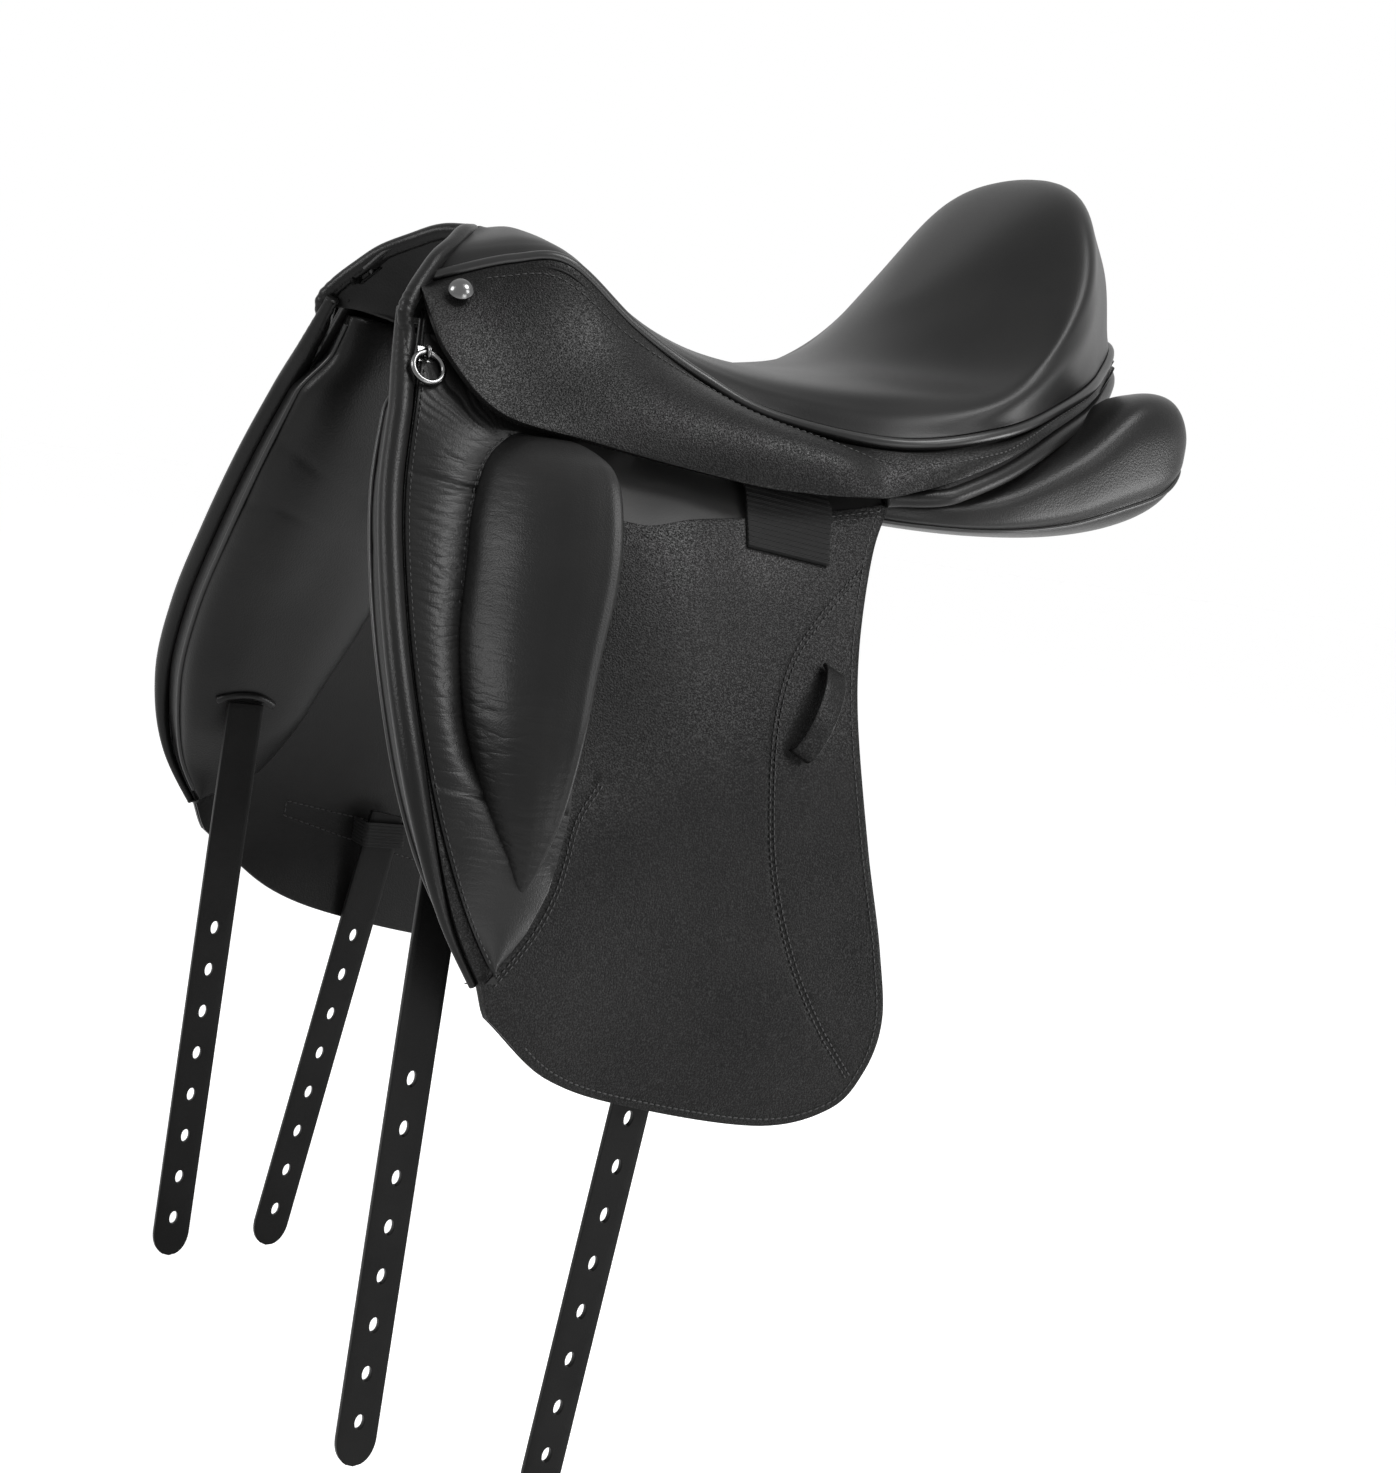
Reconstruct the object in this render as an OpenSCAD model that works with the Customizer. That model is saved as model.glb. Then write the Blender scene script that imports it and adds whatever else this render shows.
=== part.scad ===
// Dressage saddle with a single flap, short knee roll and four girth billets.
// +X runs to the cantle, +Y to the off side and +Z up. The origin lies on the centre plane,
// level with the bearing faces of the panels, under the deepest point of the seat.

/* [Seat] */
// Seat length, pommel stud to the middle of the cantle
seat_length = 432; // [405:1:460]
// Seat width, welt to welt at its widest
seat_width = 266; // [250:1:284]
// Height of the cantle above the horse's back
cantle_height = 191; // [176:1:206]
// Thickness of the seat leather
cover_t = 2.4; // [1.8:0.1:3]
// Thickness of the seat foam over the tree
foam_t = 17; // [13:0.5:19]
// Diameter of the welt between seat and skirt
welt_d = 6; // [4:0.5:7]
// Diameter of the welt round the head
head_welt_d = 10; // [8:0.5:11]
// Diameter of the binding under the cantle
binding_d = 9; // [7:0.5:10]

/* [Tree] */
// Thickness of the moulded tree
tree_t = 8; // [6:0.5:10]
// Thickness of the seat webs
web_t = 1.5; // [1:0.1:2]
// Thickness of the steel gullet plate
gullet_t = 3; // [2.5:0.5:4]
// Width of the gullet plate along the horse
gullet_w = 26; // [20:1:30]
// Shank diameter of the gullet screws
screw_d = 5; // [4:0.5:6]

/* [Skirt] */
// Thickness of the skirt leather
skirt_t = 3.2; // [2.4:0.1:3.6]
// Diameter of the pommel stud
stud_d = 13; // [10:0.5:15]
// Height of the stud's dome
stud_h = 3.5; // [2.5:0.5:5]

/* [Flap] */
// Drop of the flap below the horse's back line
flap_drop = 317; // [295:1:340]
// Thickness of the flap leather
flap_t = 4.5; // [3.5:0.1:5]
// Thickness of the sweat flap
sweat_t = 2.5; // [2:0.1:3]
// Diameter of the roll along the front of the flap
roll_d = 12; // [10:0.5:13]
// Height of the knee roll above the flap
knee_h = 44; // [36:1:50]
// Height of the gathered strip in front of the knee roll
gather_h = 6; // [4:0.5:8]
// Width of the stirrup leather keeper
keeper_w = 12; // [9:0.5:14]
// Height of the keeper's bow above the flap
keeper_bow = 11; // [10:0.5:13]
// Width of the girth web
girth_web_w = 43; // [36:1:48]

/* [Panels] */
// Greatest thickness of the front panel
front_panel_t = 40; // [32:1:44]
// Width of the channel between the rear panels
channel_w = 66; // [56:1:76]

/* [Billets] */
// Width of a billet
billet_w = 21; // [19:0.5:26]
// Thickness of a billet
billet_t = 3.5; // [3:0.1:4]
// Length of a front billet from its slot
front_billet_l = 330; // [310:1:360]
// Length of a rear billet from its keeper
rear_billet_l = 275; // [265:1:300]
// Number of holes in a billet
hole_count = 8; // [5:1:8]
// Spacing of the holes
hole_pitch = 25; // [22:0.5:26]
// Width of a hole
hole_w = 5; // [4:0.5:6]
// Height of a hole
hole_h = 8; // [7:0.5:9]
// Forward lean of the near rear billet as it hangs
near_lean = 5; // [3:0.5:7]
// Forward lean of the off rear billet as it hangs
off_lean = 8; // [6:0.5:9]

/* [Ironwork] */
// Length of the stirrup bar
bar_l = 78; // [70:1:84]
// Height of the stirrup bar
bar_h = 10; // [8:0.5:12]
// Thickness of the stirrup bar
bar_t = 6; // [5.5:0.5:7]
// Gap between bar and plate for the stirrup leather
bar_slot = 8; // [7:0.5:9]
// Thickness of the bar's plate
plate_t = 3; // [2.5:0.5:3.5]
// Length of the bar's safety catch
catch_l = 20; // [16:1:24]
// Thickness of the catch
catch_t = 2.4; // [2:0.2:2.8]
// Diameter of the catch's pin
pin_d = 2.5; // [2:0.5:3]
// Shank diameter of the bar's rivets
rivet_d = 5; // [4:0.5:6]
// Outer diameter of a dee ring
ring_d = 19; // [18:0.5:21]
// Wire diameter of a dee ring
ring_wire = 3; // [2.5:0.1:3.4]

/* [Fits] */
// Gap between pieces that lie on each other
gap = 0.4; // [0.3:0.05:0.5]

/* [Hidden] */
$fn = 48;
leather = [0.07, 0.07, 0.075];
soft_leather = [0.1, 0.1, 0.105];
web_black = [0.05, 0.05, 0.055];
steel = [0.55, 0.55, 0.57];
foam_grey = [0.6, 0.6, 0.58];
tree_grey = [0.3, 0.3, 0.32];

// Sizes of the pattern that the guide curves below are drawn on
drawn = [432, 266, 191, 317];
// A point of the pattern, graded to the set sizes
function at(p) = [p.x * seat_length / drawn[0], p.y * seat_width / drawn[1],
    p.z > 0 ? p.z * cantle_height / drawn[2] : p.z * flap_drop / drawn[3]];

// Curves and surfaces
function unit(v) = v / norm(v);
function mirrored(p) = [p.x, -p.y, p.z];
function smooth(a) = let (t = min(max(a, 0), 1)) t * t * (3 - 2 * t);
function mix(a, b, t) = a + (b - a) * t;
// Catmull-Rom spline through a list of numbers or points, one unit of u per span
function spl(p, u) = let (n = len(p) - 1, i = max(0, min(floor(u), n - 1)), f = u - i,
    b = p[i], c = p[i + 1], a = i > 0 ? p[i - 1] : 2 * b - c, d = i < n - 1 ? p[i + 2] : 2 * c - b)
    b + 0.5 * f * (c - a + f * (2 * a - 5 * b + 4 * c - d + f * (3 * (b - c) + d - a)));
function along(p, t) = spl(p, t * (len(p) - 1));
function steps(n) = [for (k = [0 : n]) k / n];
// A curve on the off side, carried over the centre plane to the near side
function both_sides(p) = concat(p, [for (k = [len(p) - 2 : -1 : 0]) mirrored(p[k])]);

// Closed solid between two grids of points; closed_rows joins the last row to the first,
// spine folds the first column of the second half of the rows onto that of the first half
module shell(A, B, closed_rows = false, spine = false) {
    n = len(A);
    m = len(A[0]);
    base = n * m;
    function a(i, j) = spine && j == 0 && i > (n - 1) / 2 ? (n - 1 - i) * m : (i % n) * m + j;
    function b(i, j) = base + a(i, j);
    rows = closed_rows ? n - 1 : n - 2;
    faces = concat(
        [for (i = [0 : rows], j = [0 : m - 2]) each [
            [a(i, j), a(i, j + 1), a(i + 1, j + 1)], [a(i, j), a(i + 1, j + 1), a(i + 1, j)],
            [b(i, j), b(i + 1, j + 1), b(i, j + 1)], [b(i, j), b(i + 1, j), b(i + 1, j + 1)]]],
        [for (i = [0 : rows]) each concat(
            spine ? [] : [[a(i, 0), a(i + 1, 0), b(i + 1, 0)], [a(i, 0), b(i + 1, 0), b(i, 0)]],
            [[a(i, m - 1), b(i + 1, m - 1), a(i + 1, m - 1)],
             [a(i, m - 1), b(i, m - 1), b(i + 1, m - 1)]])],
        closed_rows ? [] : [for (j = [0 : m - 2]) each [
            [a(0, j), b(0, j), b(0, j + 1)], [a(0, j), b(0, j + 1), a(0, j + 1)],
            [a(n - 1, j), b(n - 1, j + 1), b(n - 1, j)],
            [a(n - 1, j), a(n - 1, j + 1), b(n - 1, j + 1)]]]);
    polyhedron(concat([for (r = A) each r], [for (r = B) each r]), faces, convexity = 8);
}

// Closed solid through a list of rings, with a fan at each end
module loft(rings) {
    n = len(rings);
    m = len(rings[0]);
    function centre(r) = [for (k = [0 : 2]) [for (p = r) p[k]] * [for (p = r) 1] / len(r)];
    polyhedron(concat([for (r = rings) each r], [centre(rings[0]), centre(rings[n - 1])]), concat(
        [for (i = [0 : n - 2], j = [0 : m - 1]) let (k = (j + 1) % m) each [
            [i * m + j, i * m + k, (i + 1) * m + k], [i * m + j, (i + 1) * m + k, (i + 1) * m + j]]],
        [for (j = [0 : m - 1]) [n * m, (j + 1) % m, j]],
        [for (j = [0 : m - 1]) [n * m + 1, (n - 1) * m + j, (n - 1) * m + (j + 1) % m]]), convexity = 8);
}

// Round tube of radius r along a path; across is a direction that the path never follows
module tube(path, r, across, sides = 8) {
    n = len(path) - 1;
    loft([for (i = [0 : n]) let (t = unit(path[min(i + 1, n)] - path[max(i - 1, 0)]),
        e = unit(cross(t, across)), f = cross(t, e))
        [for (k = [0 : sides - 1]) path[i] + r * (e * cos(k * 360 / sides) - f * sin(k * 360 / sides))]]);
}

module near() mirror([0, 1, 0]) children();
module off() children();

// Seat: four guide curves on the off side at eleven stations from the head to the cantle.
// spine runs on the centre plane, crest over the shoulder or rim, back down the wall, welt along the seam
spine = [[-173, 0, 106], [-160, 0, 108], [-136, 0, 101], [-100, 0, 79], [-60, 0, 64], [-20, 0, 59],
    [12, 0, 62], [32, 0, 68], [46, 0, 73], [56, 0, 77], [60, 0, 79]];
crest = [[-192, 24, 98], [-167, 32, 104], [-143, 38, 98], [-104, 42, 73], [-64, 50, 58], [-25, 68, 54],
    [22, 92, 58], [84, 99, 74], [126, 91, 130], [141, 55, 177], [149, 0, 191]];
back = [[-204, 35, 90], [-172, 45, 99], [-148, 50, 97], [-108, 56, 70], [-69, 66, 54], [-31, 90, 46],
    [20, 118, 47], [80, 127, 64], [137, 106, 106], [171, 63, 146], [208, 0, 157]];
welt = [[-213, 42, 79], [-179, 52, 92], [-152, 58, 94], [-112, 63, 68], [-74, 74, 49], [-38, 96, 36],
    [16, 128, 33], [76, 131, 47], [129, 105, 65], [182, 64, 87], [226, 0, 110]];
last = len(welt) - 1;
function guide(p, u) = spl(concat([for (q = p) at(q)], [mirrored(at(p[last - 1]))]), u);
// Point of the seat at station u, from the spine at v = 0 to the welt at v = 1
function seat_point(u, v) = let (s = guide(spine, u), c = guide(crest, u), b = guide(back, u),
    w = guide(welt, u)) spl([mirrored(c), s, c, b, w], 1 + 3 * v);
function seat_normal(u, v) = let (e = 0.03, w = max(v, 2 * e),
    du = seat_point(u + e, w) - seat_point(max(u - e, 0), w),
    dv = seat_point(u, min(v + e, 1)) - seat_point(u, max(v - e, 0))) unit(cross(du, dv));
// Point at depth d under the seat
function seat_under(u, v, d) = seat_point(u, v) - d * seat_normal(u, v);
// Point beyond the welt line, in the direction in which the seat leather ends
function seat_end(u, d) = let (e = 0.02) seat_point(u, 1)
    + d * unit(seat_point(u, 1) - seat_point(u, 1 - e));

seat_rows = 22;
// The cover is sewn from a centre inside the rim and a facing that goes round outside it
rim = 1 / 3;
centre_cols = 4;
facing_cols = 5;
seat_places = concat(rim * steps(centre_cols), [for (k = [1 : facing_cols]) mix(rim, 1, k / facing_cols)]);
function seat_halves(rows) = concat(rows,
    [for (i = [seat_rows - 1 : -1 : 0]) [for (p = rows[i]) mirrored(p)]]);
// Grid of the seat at a depth that may differ at the welt and at the head
function seat_grid(deep, at_welt, at_head) = seat_halves([for (s = steps(seat_rows))
    [for (v = seat_places) seat_under(last * s, v,
        mix(at_head, mix(deep, at_welt, smooth(3 * v - 1)), smooth(last * s / 1.5)))]]);

// Place across the seat that lies beside the rim by a distance d
function beside_rim(u, d) = let (e = 0.02)
    rim + d * 2 * e / norm(seat_point(u, rim + e) - seat_point(u, rim - e));
function centre_grid(depth) = seat_halves([for (s = steps(seat_rows)) [for (v = steps(centre_cols))
    seat_under(last * s, v * beside_rim(last * s, -gap / 2), depth)]]);
function facing_grid(depth) = seat_halves([for (s = steps(seat_rows)) [for (v = steps(facing_cols))
    seat_under(last * s, mix(beside_rim(last * s, gap / 2), 1, v), depth)]]);
module seat_centre() color(leather) shell(centre_grid(0), centre_grid(cover_t), spine = true);
module seat_facing() color(leather) shell(facing_grid(0), facing_grid(cover_t));

foam_top = cover_t + gap;
foam_bottom = foam_top + foam_t;
// The foam is thinner towards the welt and the head
foam_edge = foam_top + 0.4 * foam_t;
foam_head = foam_top + 0.3 * foam_t;
module seat_foam() color(foam_grey)
    shell(seat_grid(foam_top, foam_top, foam_top), seat_grid(foam_bottom, foam_edge, foam_head),
        spine = true);

// Webs across the tree, at three stations of the seat
web_stations = [4, 4.9, 5.7];
web_half = 0.3;
web_reach = 0.33;
function web_strip(u, d) = [for (i = [-1 : 1]) let (row = [for (j = [4 : -1 : 0])
    seat_under(u + web_half * i, web_reach * j / 4, d)])
    concat([for (p = row) mirrored(p)], [for (j = [3 : -1 : 0]) row[j]])];
module seat_webs() color(web_black) for (u = web_stations)
    shell(web_strip(u, foam_bottom + 2 * gap), web_strip(u, foam_bottom + 2 * gap + web_t));

// Tree: inner and outer edge as stations (u, v) of the seat, from the head to the cantle
tree_inner = [[2.5, 0], [2.75, 0.1], [3.1, 0.17], [3.6, 0.19], [4.2, 0.19], [5, 0.19], [6, 0.2],
    [7, 0.22], [8, 0.23], [9, 0.23], [10, 0.23]];
tree_outer = [[1.5, 0], [1.55, 0.16], [1.9, 0.36], [2.7, 0.48], [3.8, 0.52], [5, 0.46], [6, 0.38],
    [7, 0.33], [8, 0.3], [9, 0.29], [10, 0.3]];
tree_rows = 20;
// The tree stands further off the leather in the cantle
cantle_stuffing = 5;
tree_top = foam_bottom + 4 * gap + web_t;
// Wings of the tree carry the stirrup bars
wing_reach = [0, 22, -15];
function wing(u) = smooth((u - 2.3) / 0.8) * smooth((4.9 - u) / 0.8);
function tree_depth(u) = cantle_stuffing * smooth((u - 6.5) / 1.5);
function tree_grid(d) = let (rows = [for (s = steps(tree_rows)) let (a = along(tree_inner, s),
    b = along(tree_outer, s)) [for (t = steps(3)) let (q = mix(a, b, t))
    seat_under(q[0], q[1], d + tree_depth(q[0])) + wing(q[0]) * t * t * wing_reach]])
    concat(rows, [for (i = [tree_rows - 1 : -1 : 1]) [for (p = rows[i]) mirrored(p)]]);
module tree() color(tree_grey) shell(tree_grid(tree_top), tree_grid(tree_top + tree_t), closed_rows = true);

// Steel arch under the head: a bent strap across the horse, drawn as half its lower line
gullet_x = -145;
gullet_line = [[0, 57], [14, 56], [27, 50], [36, 40], [42, 28]];
gullet_steps = 12;
function gullet_side(d) = [for (s = steps(gullet_steps)) let (e = 0.01, p = along(gullet_line, s),
    t = unit(along(gullet_line, min(s + e, 1)) - along(gullet_line, max(s - e, 0))), q = at([0, p[0], p[1]]))
    [q.y - d * t[1], q.z + d * t[0]]];
// The whole arch, d above its lower line, from the off side to the near side
function gullet_arch(d) = let (half = gullet_side(d))
    concat([for (k = [gullet_steps : -1 : 1]) half[k]], [for (p = half) [-p[0], p[1]]]);
module gullet_plate() color(steel) {
    upper = gullet_arch(gullet_t);
    difference() {
        translate([at([gullet_x, 0, 0]).x - gullet_w / 2, 0, 0]) rotate([90, 0, 90]) linear_extrude(gullet_w)
            polygon(concat(gullet_arch(0), [for (k = [len(upper) - 1 : -1 : 0]) upper[k]]));
        for (q = screw_stations, side = [-1, 1]) screw_place(q, side)
            cylinder(d = screw_d + 2 * gap, h = gullet_low + 2 * gullet_t);
    }
}
// Screws run from under the plate to the underside of the tree, at these stations (u, v) of the seat
screw_stations = [[1.86, 0.07], [2.38, 0.07]];
screw_head_h = 2.5;
gullet_low = at([0, 0, gullet_line[1][1]]).z;
function tree_low(q) = seat_under(q[0], q[1], tree_top + tree_t);
module screw_place(q, side) translate([tree_low(q).x, side * tree_low(q).y, 0]) children();
module gullet_screws() color(steel) for (q = screw_stations, side = [-1, 1]) screw_place(q, side) {
    head = gullet_low - 2 * gap - screw_head_h;
    end = tree_low(q).z - gap - screw_d / 3;
    translate([0, 0, head]) cylinder(d = 2 * screw_d, h = screw_head_h);
    translate([0, 0, head]) cylinder(d = screw_d, h = end - head);
}

// Welts
welt_rows = 48;
welt_start = 0.4;
module seat_welt() color(leather) {
    half = [for (s = steps(welt_rows / 2)) seat_end(mix(welt_start, last, s), welt_d / 2 + 2 * gap)];
    tube(both_sides(half), welt_d / 2, [0, 0, 1]);
}
// The head welt leaves the front edge of the seat and ends at the top of the flap's roll
head_line = [[-182, 0, 102], [-193, 14, 100], [-203.5, 27, 93], [-214.5, 37, 85], [-223, 44.5, 75.5],
    [-231, 52, 65], [-236, 57, 55]];
module head_welt() color(leather) {
    r = head_welt_d / 2;
    half = [for (s = steps(14)) at(along(head_line, 1 - s))];
    tube(both_sides(half), r, [1, 0, 0]);
}
// Leather inside the arch, from the welt back to the gullet
lining_front = [[-186, 0, 95], [-203, 24, 87], [-221, 40, 72], [-234, 50.2, 56.5]];
lining_rear = [[-161, 0, 60], [-167, 15, 57], [-184, 25, 54], [-206, 33, 53]];
lining_t = 1.8;
lining_hollow = 1.6;
module head_lining() {
    function rise(t) = lining_hollow * 4 * t * (1 - t);
    function sheet(d) = let (rows = [for (s = steps(8)) [for (t = steps(3))
        at(mix(along(lining_front, s), along(lining_rear, s), t)) + [0, 0, rise(t) - d]]])
        [for (i = [8 : -1 : -8]) i >= 0 ? rows[i] : [for (p = rows[-i]) mirrored(p)]];
    under = sheet(lining_t);
    over = sheet(0);
    color(soft_leather) loft([for (i = [0 : len(over) - 1])
        concat(over[i], [for (j = [len(under[i]) - 1 : -1 : 0]) under[i][j]])]);
}

// Skirt: a lobe under a straight fold hangs over the stirrup bar, the rest is sewn to the seat.
// The edge is drawn at the stations of the welt
skirt_edge = [[-228, 61, 62], [-220, 81, 38], [-196, 100, 14], [-150, 113, 7], [-100, 127, 1],
    [-52, 139, -2], [8, 147, 4], [70, 140, 27], [124, 115, 53], [182, 70, 77], [228, 0, 100]];
fold_station = 6.5;
fold_front = skirt_edge[0];
fold_rear = spl(skirt_edge, fold_station);
fold_shares = [0, 0.09, 0.2, 0.36, 0.53, 0.69, 0.9, 1];
function edge_point(u) = guide(skirt_edge, u);
function fold_point(u) = at(mix(fold_front, fold_rear, u >= fold_station ? 1 : spl(fold_shares, u)));
function skirt_low(u) = u < fold_station ? fold_point(u) : edge_point(u);
skirt_crown = 2.5;
skirt_start = 0.2;
skirt_end = last - 0.02;
// Point of the leather between a and b at station u, w of the way down and d under its face
function leaf(u, a, b, w, d) = let (e = 0.05, run = edge_point(u + e) - edge_point(max(u - e, 0)))
    mix(a, b, w) + unit(cross(run, b - a)) * (skirt_crown * 4 * w * (1 - w) - d);
function skirt_top(u) = seat_end(u, welt_d + 7 * gap);
module skirt() {
    function sheet(d) = [for (s = steps(34)) let (u = mix(skirt_start, skirt_end, s))
        [for (w = steps(3)) leaf(u, skirt_top(u), skirt_low(u), w, d)]];
    color(leather) shell(sheet(0), sheet(skirt_t));
}
lobe_start = 0.25;
lobe_end = 6.3;
module skirt_lobe() {
    function sheet(d) = [for (s = steps(20)) let (u = mix(lobe_start, lobe_end, s), a = fold_point(u),
        b = edge_point(u), c = a + unit(b - a) * 8 * gap) [for (w = steps(4)) leaf(u, c, b, w, d)]];
    color(leather) shell(sheet(0), sheet(skirt_t));
}

// Stud at the front of the skirt
stud_station = 0.5;
stud_share = 0.6;
function stud_seat(u, w) = leaf(u, skirt_top(u), skirt_low(u), w, -2 * gap);
module stud() color(steel) {
    e = 0.1;
    n = unit(cross(stud_seat(stud_station + e, stud_share) - stud_seat(stud_station - e, stud_share),
        stud_seat(stud_station, stud_share + e) - stud_seat(stud_station, stud_share - e)));
    flange = 1;
    translate(stud_seat(stud_station, stud_share)) rotate([0, acos(n.z), atan2(n.y, n.x)])
    rotate_extrude() {
        square([stud_d / 2, flange]);
        translate([0, flange]) intersection() {
            sphere_r = (pow(stud_d / 2, 2) + pow(stud_h, 2)) / (2 * stud_h);
            translate([0, stud_h - sphere_r]) circle(sphere_r);
            square([stud_d / 2, stud_h]);
        }
    }
}

// Flap: half widths at levels from the top down, along its front edge, its middle and its rear edge
level_top = 60;
level_step = 46;
flap_front = [54, 79, 104, 134, 166, 194, 211, 212, 200, 182];
flap_middle = [66, 102, 139, 166, 185, 197, 202, 201, 193, 182];
flap_rear = [108, 130, 150, 169, 186, 197, 202, 201, 193, 182];
function level(p, z) = spl(p, (level_top - z) / level_step);
function flap_o(x, z) = mix(mix(level(flap_front, z), level(flap_middle, z), smooth((x + 245) / 150)),
    level(flap_rear, z), smooth((x + 80) / 90));
// Point on the face of the flap, raised by d
function on_flap(x, z, d) = at([x, flap_o(x, z), z]) + [0, d, 0];
edge_levels = [-237, -246, -255, -259, -259.5, -254, -238, -207];
function front_x(z) = level(edge_levels, z);
edge_low = -262;
function front_edge(t) = let (z = mix(level_top - 2, edge_low, t)) [front_x(z), z];
bottom_edge = [front_edge(1), [-165, -293], [-112, -308], [-39, -317], [0, -307]];
rear_edge = [[11, -1], [-1, -28], [-12, -75], [-14, -118], [-6, -172], [8, -222], [17, -258], [14, -286],
    [0, -307]];
top_edge = [front_edge(0), [-200, 22], [-128, -28], [-66, -17], [11, -1]];
// Patch between the four edges, drawn in by inset at the front
function flap_patch(s, t, inset) = (1 - t) * along(top_edge, s) + t * along(bottom_edge, s)
    + (1 - s) * front_edge(t) + s * along(rear_edge, t)
    - mix(mix(front_edge(0), along(rear_edge, 0), s), mix(front_edge(1), along(rear_edge, 1), s), t)
    + [inset * pow(1 - s, 3) * (1 - smooth((t - 0.85) / 0.1)), 0];
module flap_sheet(low, high, inset, cols = 10, rows = 14) {
    function sheet(d) = [for (t = steps(rows)) [for (s = steps(cols)) let (q = flap_patch(s, t, inset))
        on_flap(q[0], q[1], d)]];
    shell(sheet(low), sheet(high));
}
roll_room = 3;
// The roll sinks into the flap beside the dee ring
function roll_sink(z) = 3 * smooth((z - 5) / 25);
module flap() color(leather) flap_sheet(-flap_t, 0, roll_d + roll_room);
module sweat_flap() color(soft_leather)
    flap_sheet(-flap_t - gap - sweat_t, -flap_t - gap, roll_d + roll_room);
module flap_roll() color(leather) {
    r = roll_d / 2;
    top = 47;
    low = -215;
    path = [for (s = steps(18)) let (z = mix(top, low, s))
        on_flap(front_x(z), z, r - panel_face + gap - roll_sink(z)) + [r, 0, 0]];
    tube(path, r, [1, 0, 0]);
}
// Leather under the stirrup bar, above the top seam of the flap
module bar_lining() {
    recess = 10;
    rise = 22;
    function sheet(d) = [for (s = steps(8)) let (q = along(top_edge, mix(0.5, 1, s))) [for (t = steps(2))
        on_flap(q[0], q[1] + 2.5 + rise * t * (1 - 0.6 * s), -flap_t - recess * t - d)]];
    color(soft_leather) shell(sheet(1.6), sheet(0));
}

// Knee roll: rows from its top to its tip, each with front edge, rear edge and share of the height
knee_rows = [[3, -185, -162, 0.4], [-15, -203, -149, 0.93], [-58, -215, -156, 1], [-94, -223, -165, 1],
    [-128, -225, -172, 0.92], [-162, -219, -182, 0.64], [-190, -208, -193, 0.25], [-201, -202, -199, 0.1]];
// Outline of the roll across the flap: share of the width and share of the height
knee_profile = [[0.05, 0.3], [0.22, 0.64], [0.48, 0.9], [0.72, 1], [0.9, 0.9], [1, 0.55]];
module knee_roll() color(soft_leather)
    loft([for (s = steps(16)) let (r = along(knee_rows, 1 - s), x0 = r[1], x1 = r[2], h = knee_h * r[3])
        concat([for (f = [1, 0.5, 0]) on_flap(mix(x0, x1, f), r[0], 2 * gap)],
            [for (p = knee_profile) on_flap(mix(x0, x1, p[0]), r[0], 2 * gap + h * p[1])])]);
// Gathered leather between the front roll and the knee roll
gather_rows = [[10, -206], [-3, -201], [-15, -205], [-58, -217], [-94, -225], [-128, -227], [-162, -221],
    [-186, -211]];
module gathered_strip() color(soft_leather)
    loft([for (s = steps(12)) let (r = along(gather_rows, 1 - s), x0 = front_x(r[0]) + roll_d + roll_room,
        x1 = r[1])
        concat([for (f = [1, 0.5, 0]) on_flap(mix(x0, x1, f), r[0], 2 * gap)],
            [for (f = [0.1, 0.35, 0.65, 0.9])
                on_flap(mix(x0, x1, f), r[0], 3 * gap + gather_h * 4 * f * (1 - f))])]);

// Keeper for the end of the stirrup leather: a strap that bows out from the flap
keeper_line = [[-29, -85], [-52, -129]];
keeper_t = 2.5;
module leather_keeper() color(leather) {
    d = keeper_line[1] - keeper_line[0];
    side = unit([-d[1], d[0]]) * keeper_w / 2;
    loft([for (s = steps(12)) let (q = mix(keeper_line[0], keeper_line[1], s),
        h = gap + keeper_bow * sqrt(4 * s * (1 - s)))
        [for (p = [[-1, 0], [1, 0], [1, keeper_t], [-1, keeper_t]])
            on_flap(q[0] + side[0] * p[0], q[1] + side[1] * p[0], h + p[1])]]);
}
// Girth web: leaves the tree behind the stirrup bar and enters the flap at a slot
web_top = [-40, 16];
web_slot = [-49, -33];
girth_web_t = 1.8;
module girth_web() {
    function sink(z) = 9 * smooth((z + 8) / 14);
    function sheet(d) = [for (s = steps(8)) let (q = mix(web_top, web_slot, s))
        [for (f = [-0.5, 0, 0.5]) on_flap(q[0] + f * girth_web_w, q[1], 2 * gap + d - sink(q[1]))]];
    color(web_black) shell(sheet(0), sheet(girth_web_t));
}

// Front panel: rows from the head down, each with its rear border and share of the thickness
panel_rows = [[46, -176, 0.35], [14, -152, 0.65], [-32, -140, 0.9], [-78, -139, 1], [-124, -148, 1],
    [-165, -162, 1], [-195, -172, 0.87], [-225, -185, 0.35], [-243, -213, 0.1]];
panel_face = flap_t + 2 * gap + sweat_t;
panel_inset = 6.5;
module front_panel() color(soft_leather)
    loft([for (s = steps(14)) let (r = along(panel_rows, 1 - s), h = front_panel_t * r[2],
        x0 = front_x(r[0]) + panel_inset + 3 * roll_sink(r[0]), x1 = r[1])
        concat([for (f = steps(8)) on_flap(mix(x0, x1, f), r[0], -panel_face - 4 * gap)],
            [for (p = [[1, 0.5], [0.94, 0.8], [0.75, 0.97], [0.5, 1], [0.25, 0.97], [0.06, 0.8], [0, 0.5]])
                on_flap(mix(x0, x1, p[0]), r[0], -panel_face - h * p[1])])]);

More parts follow.
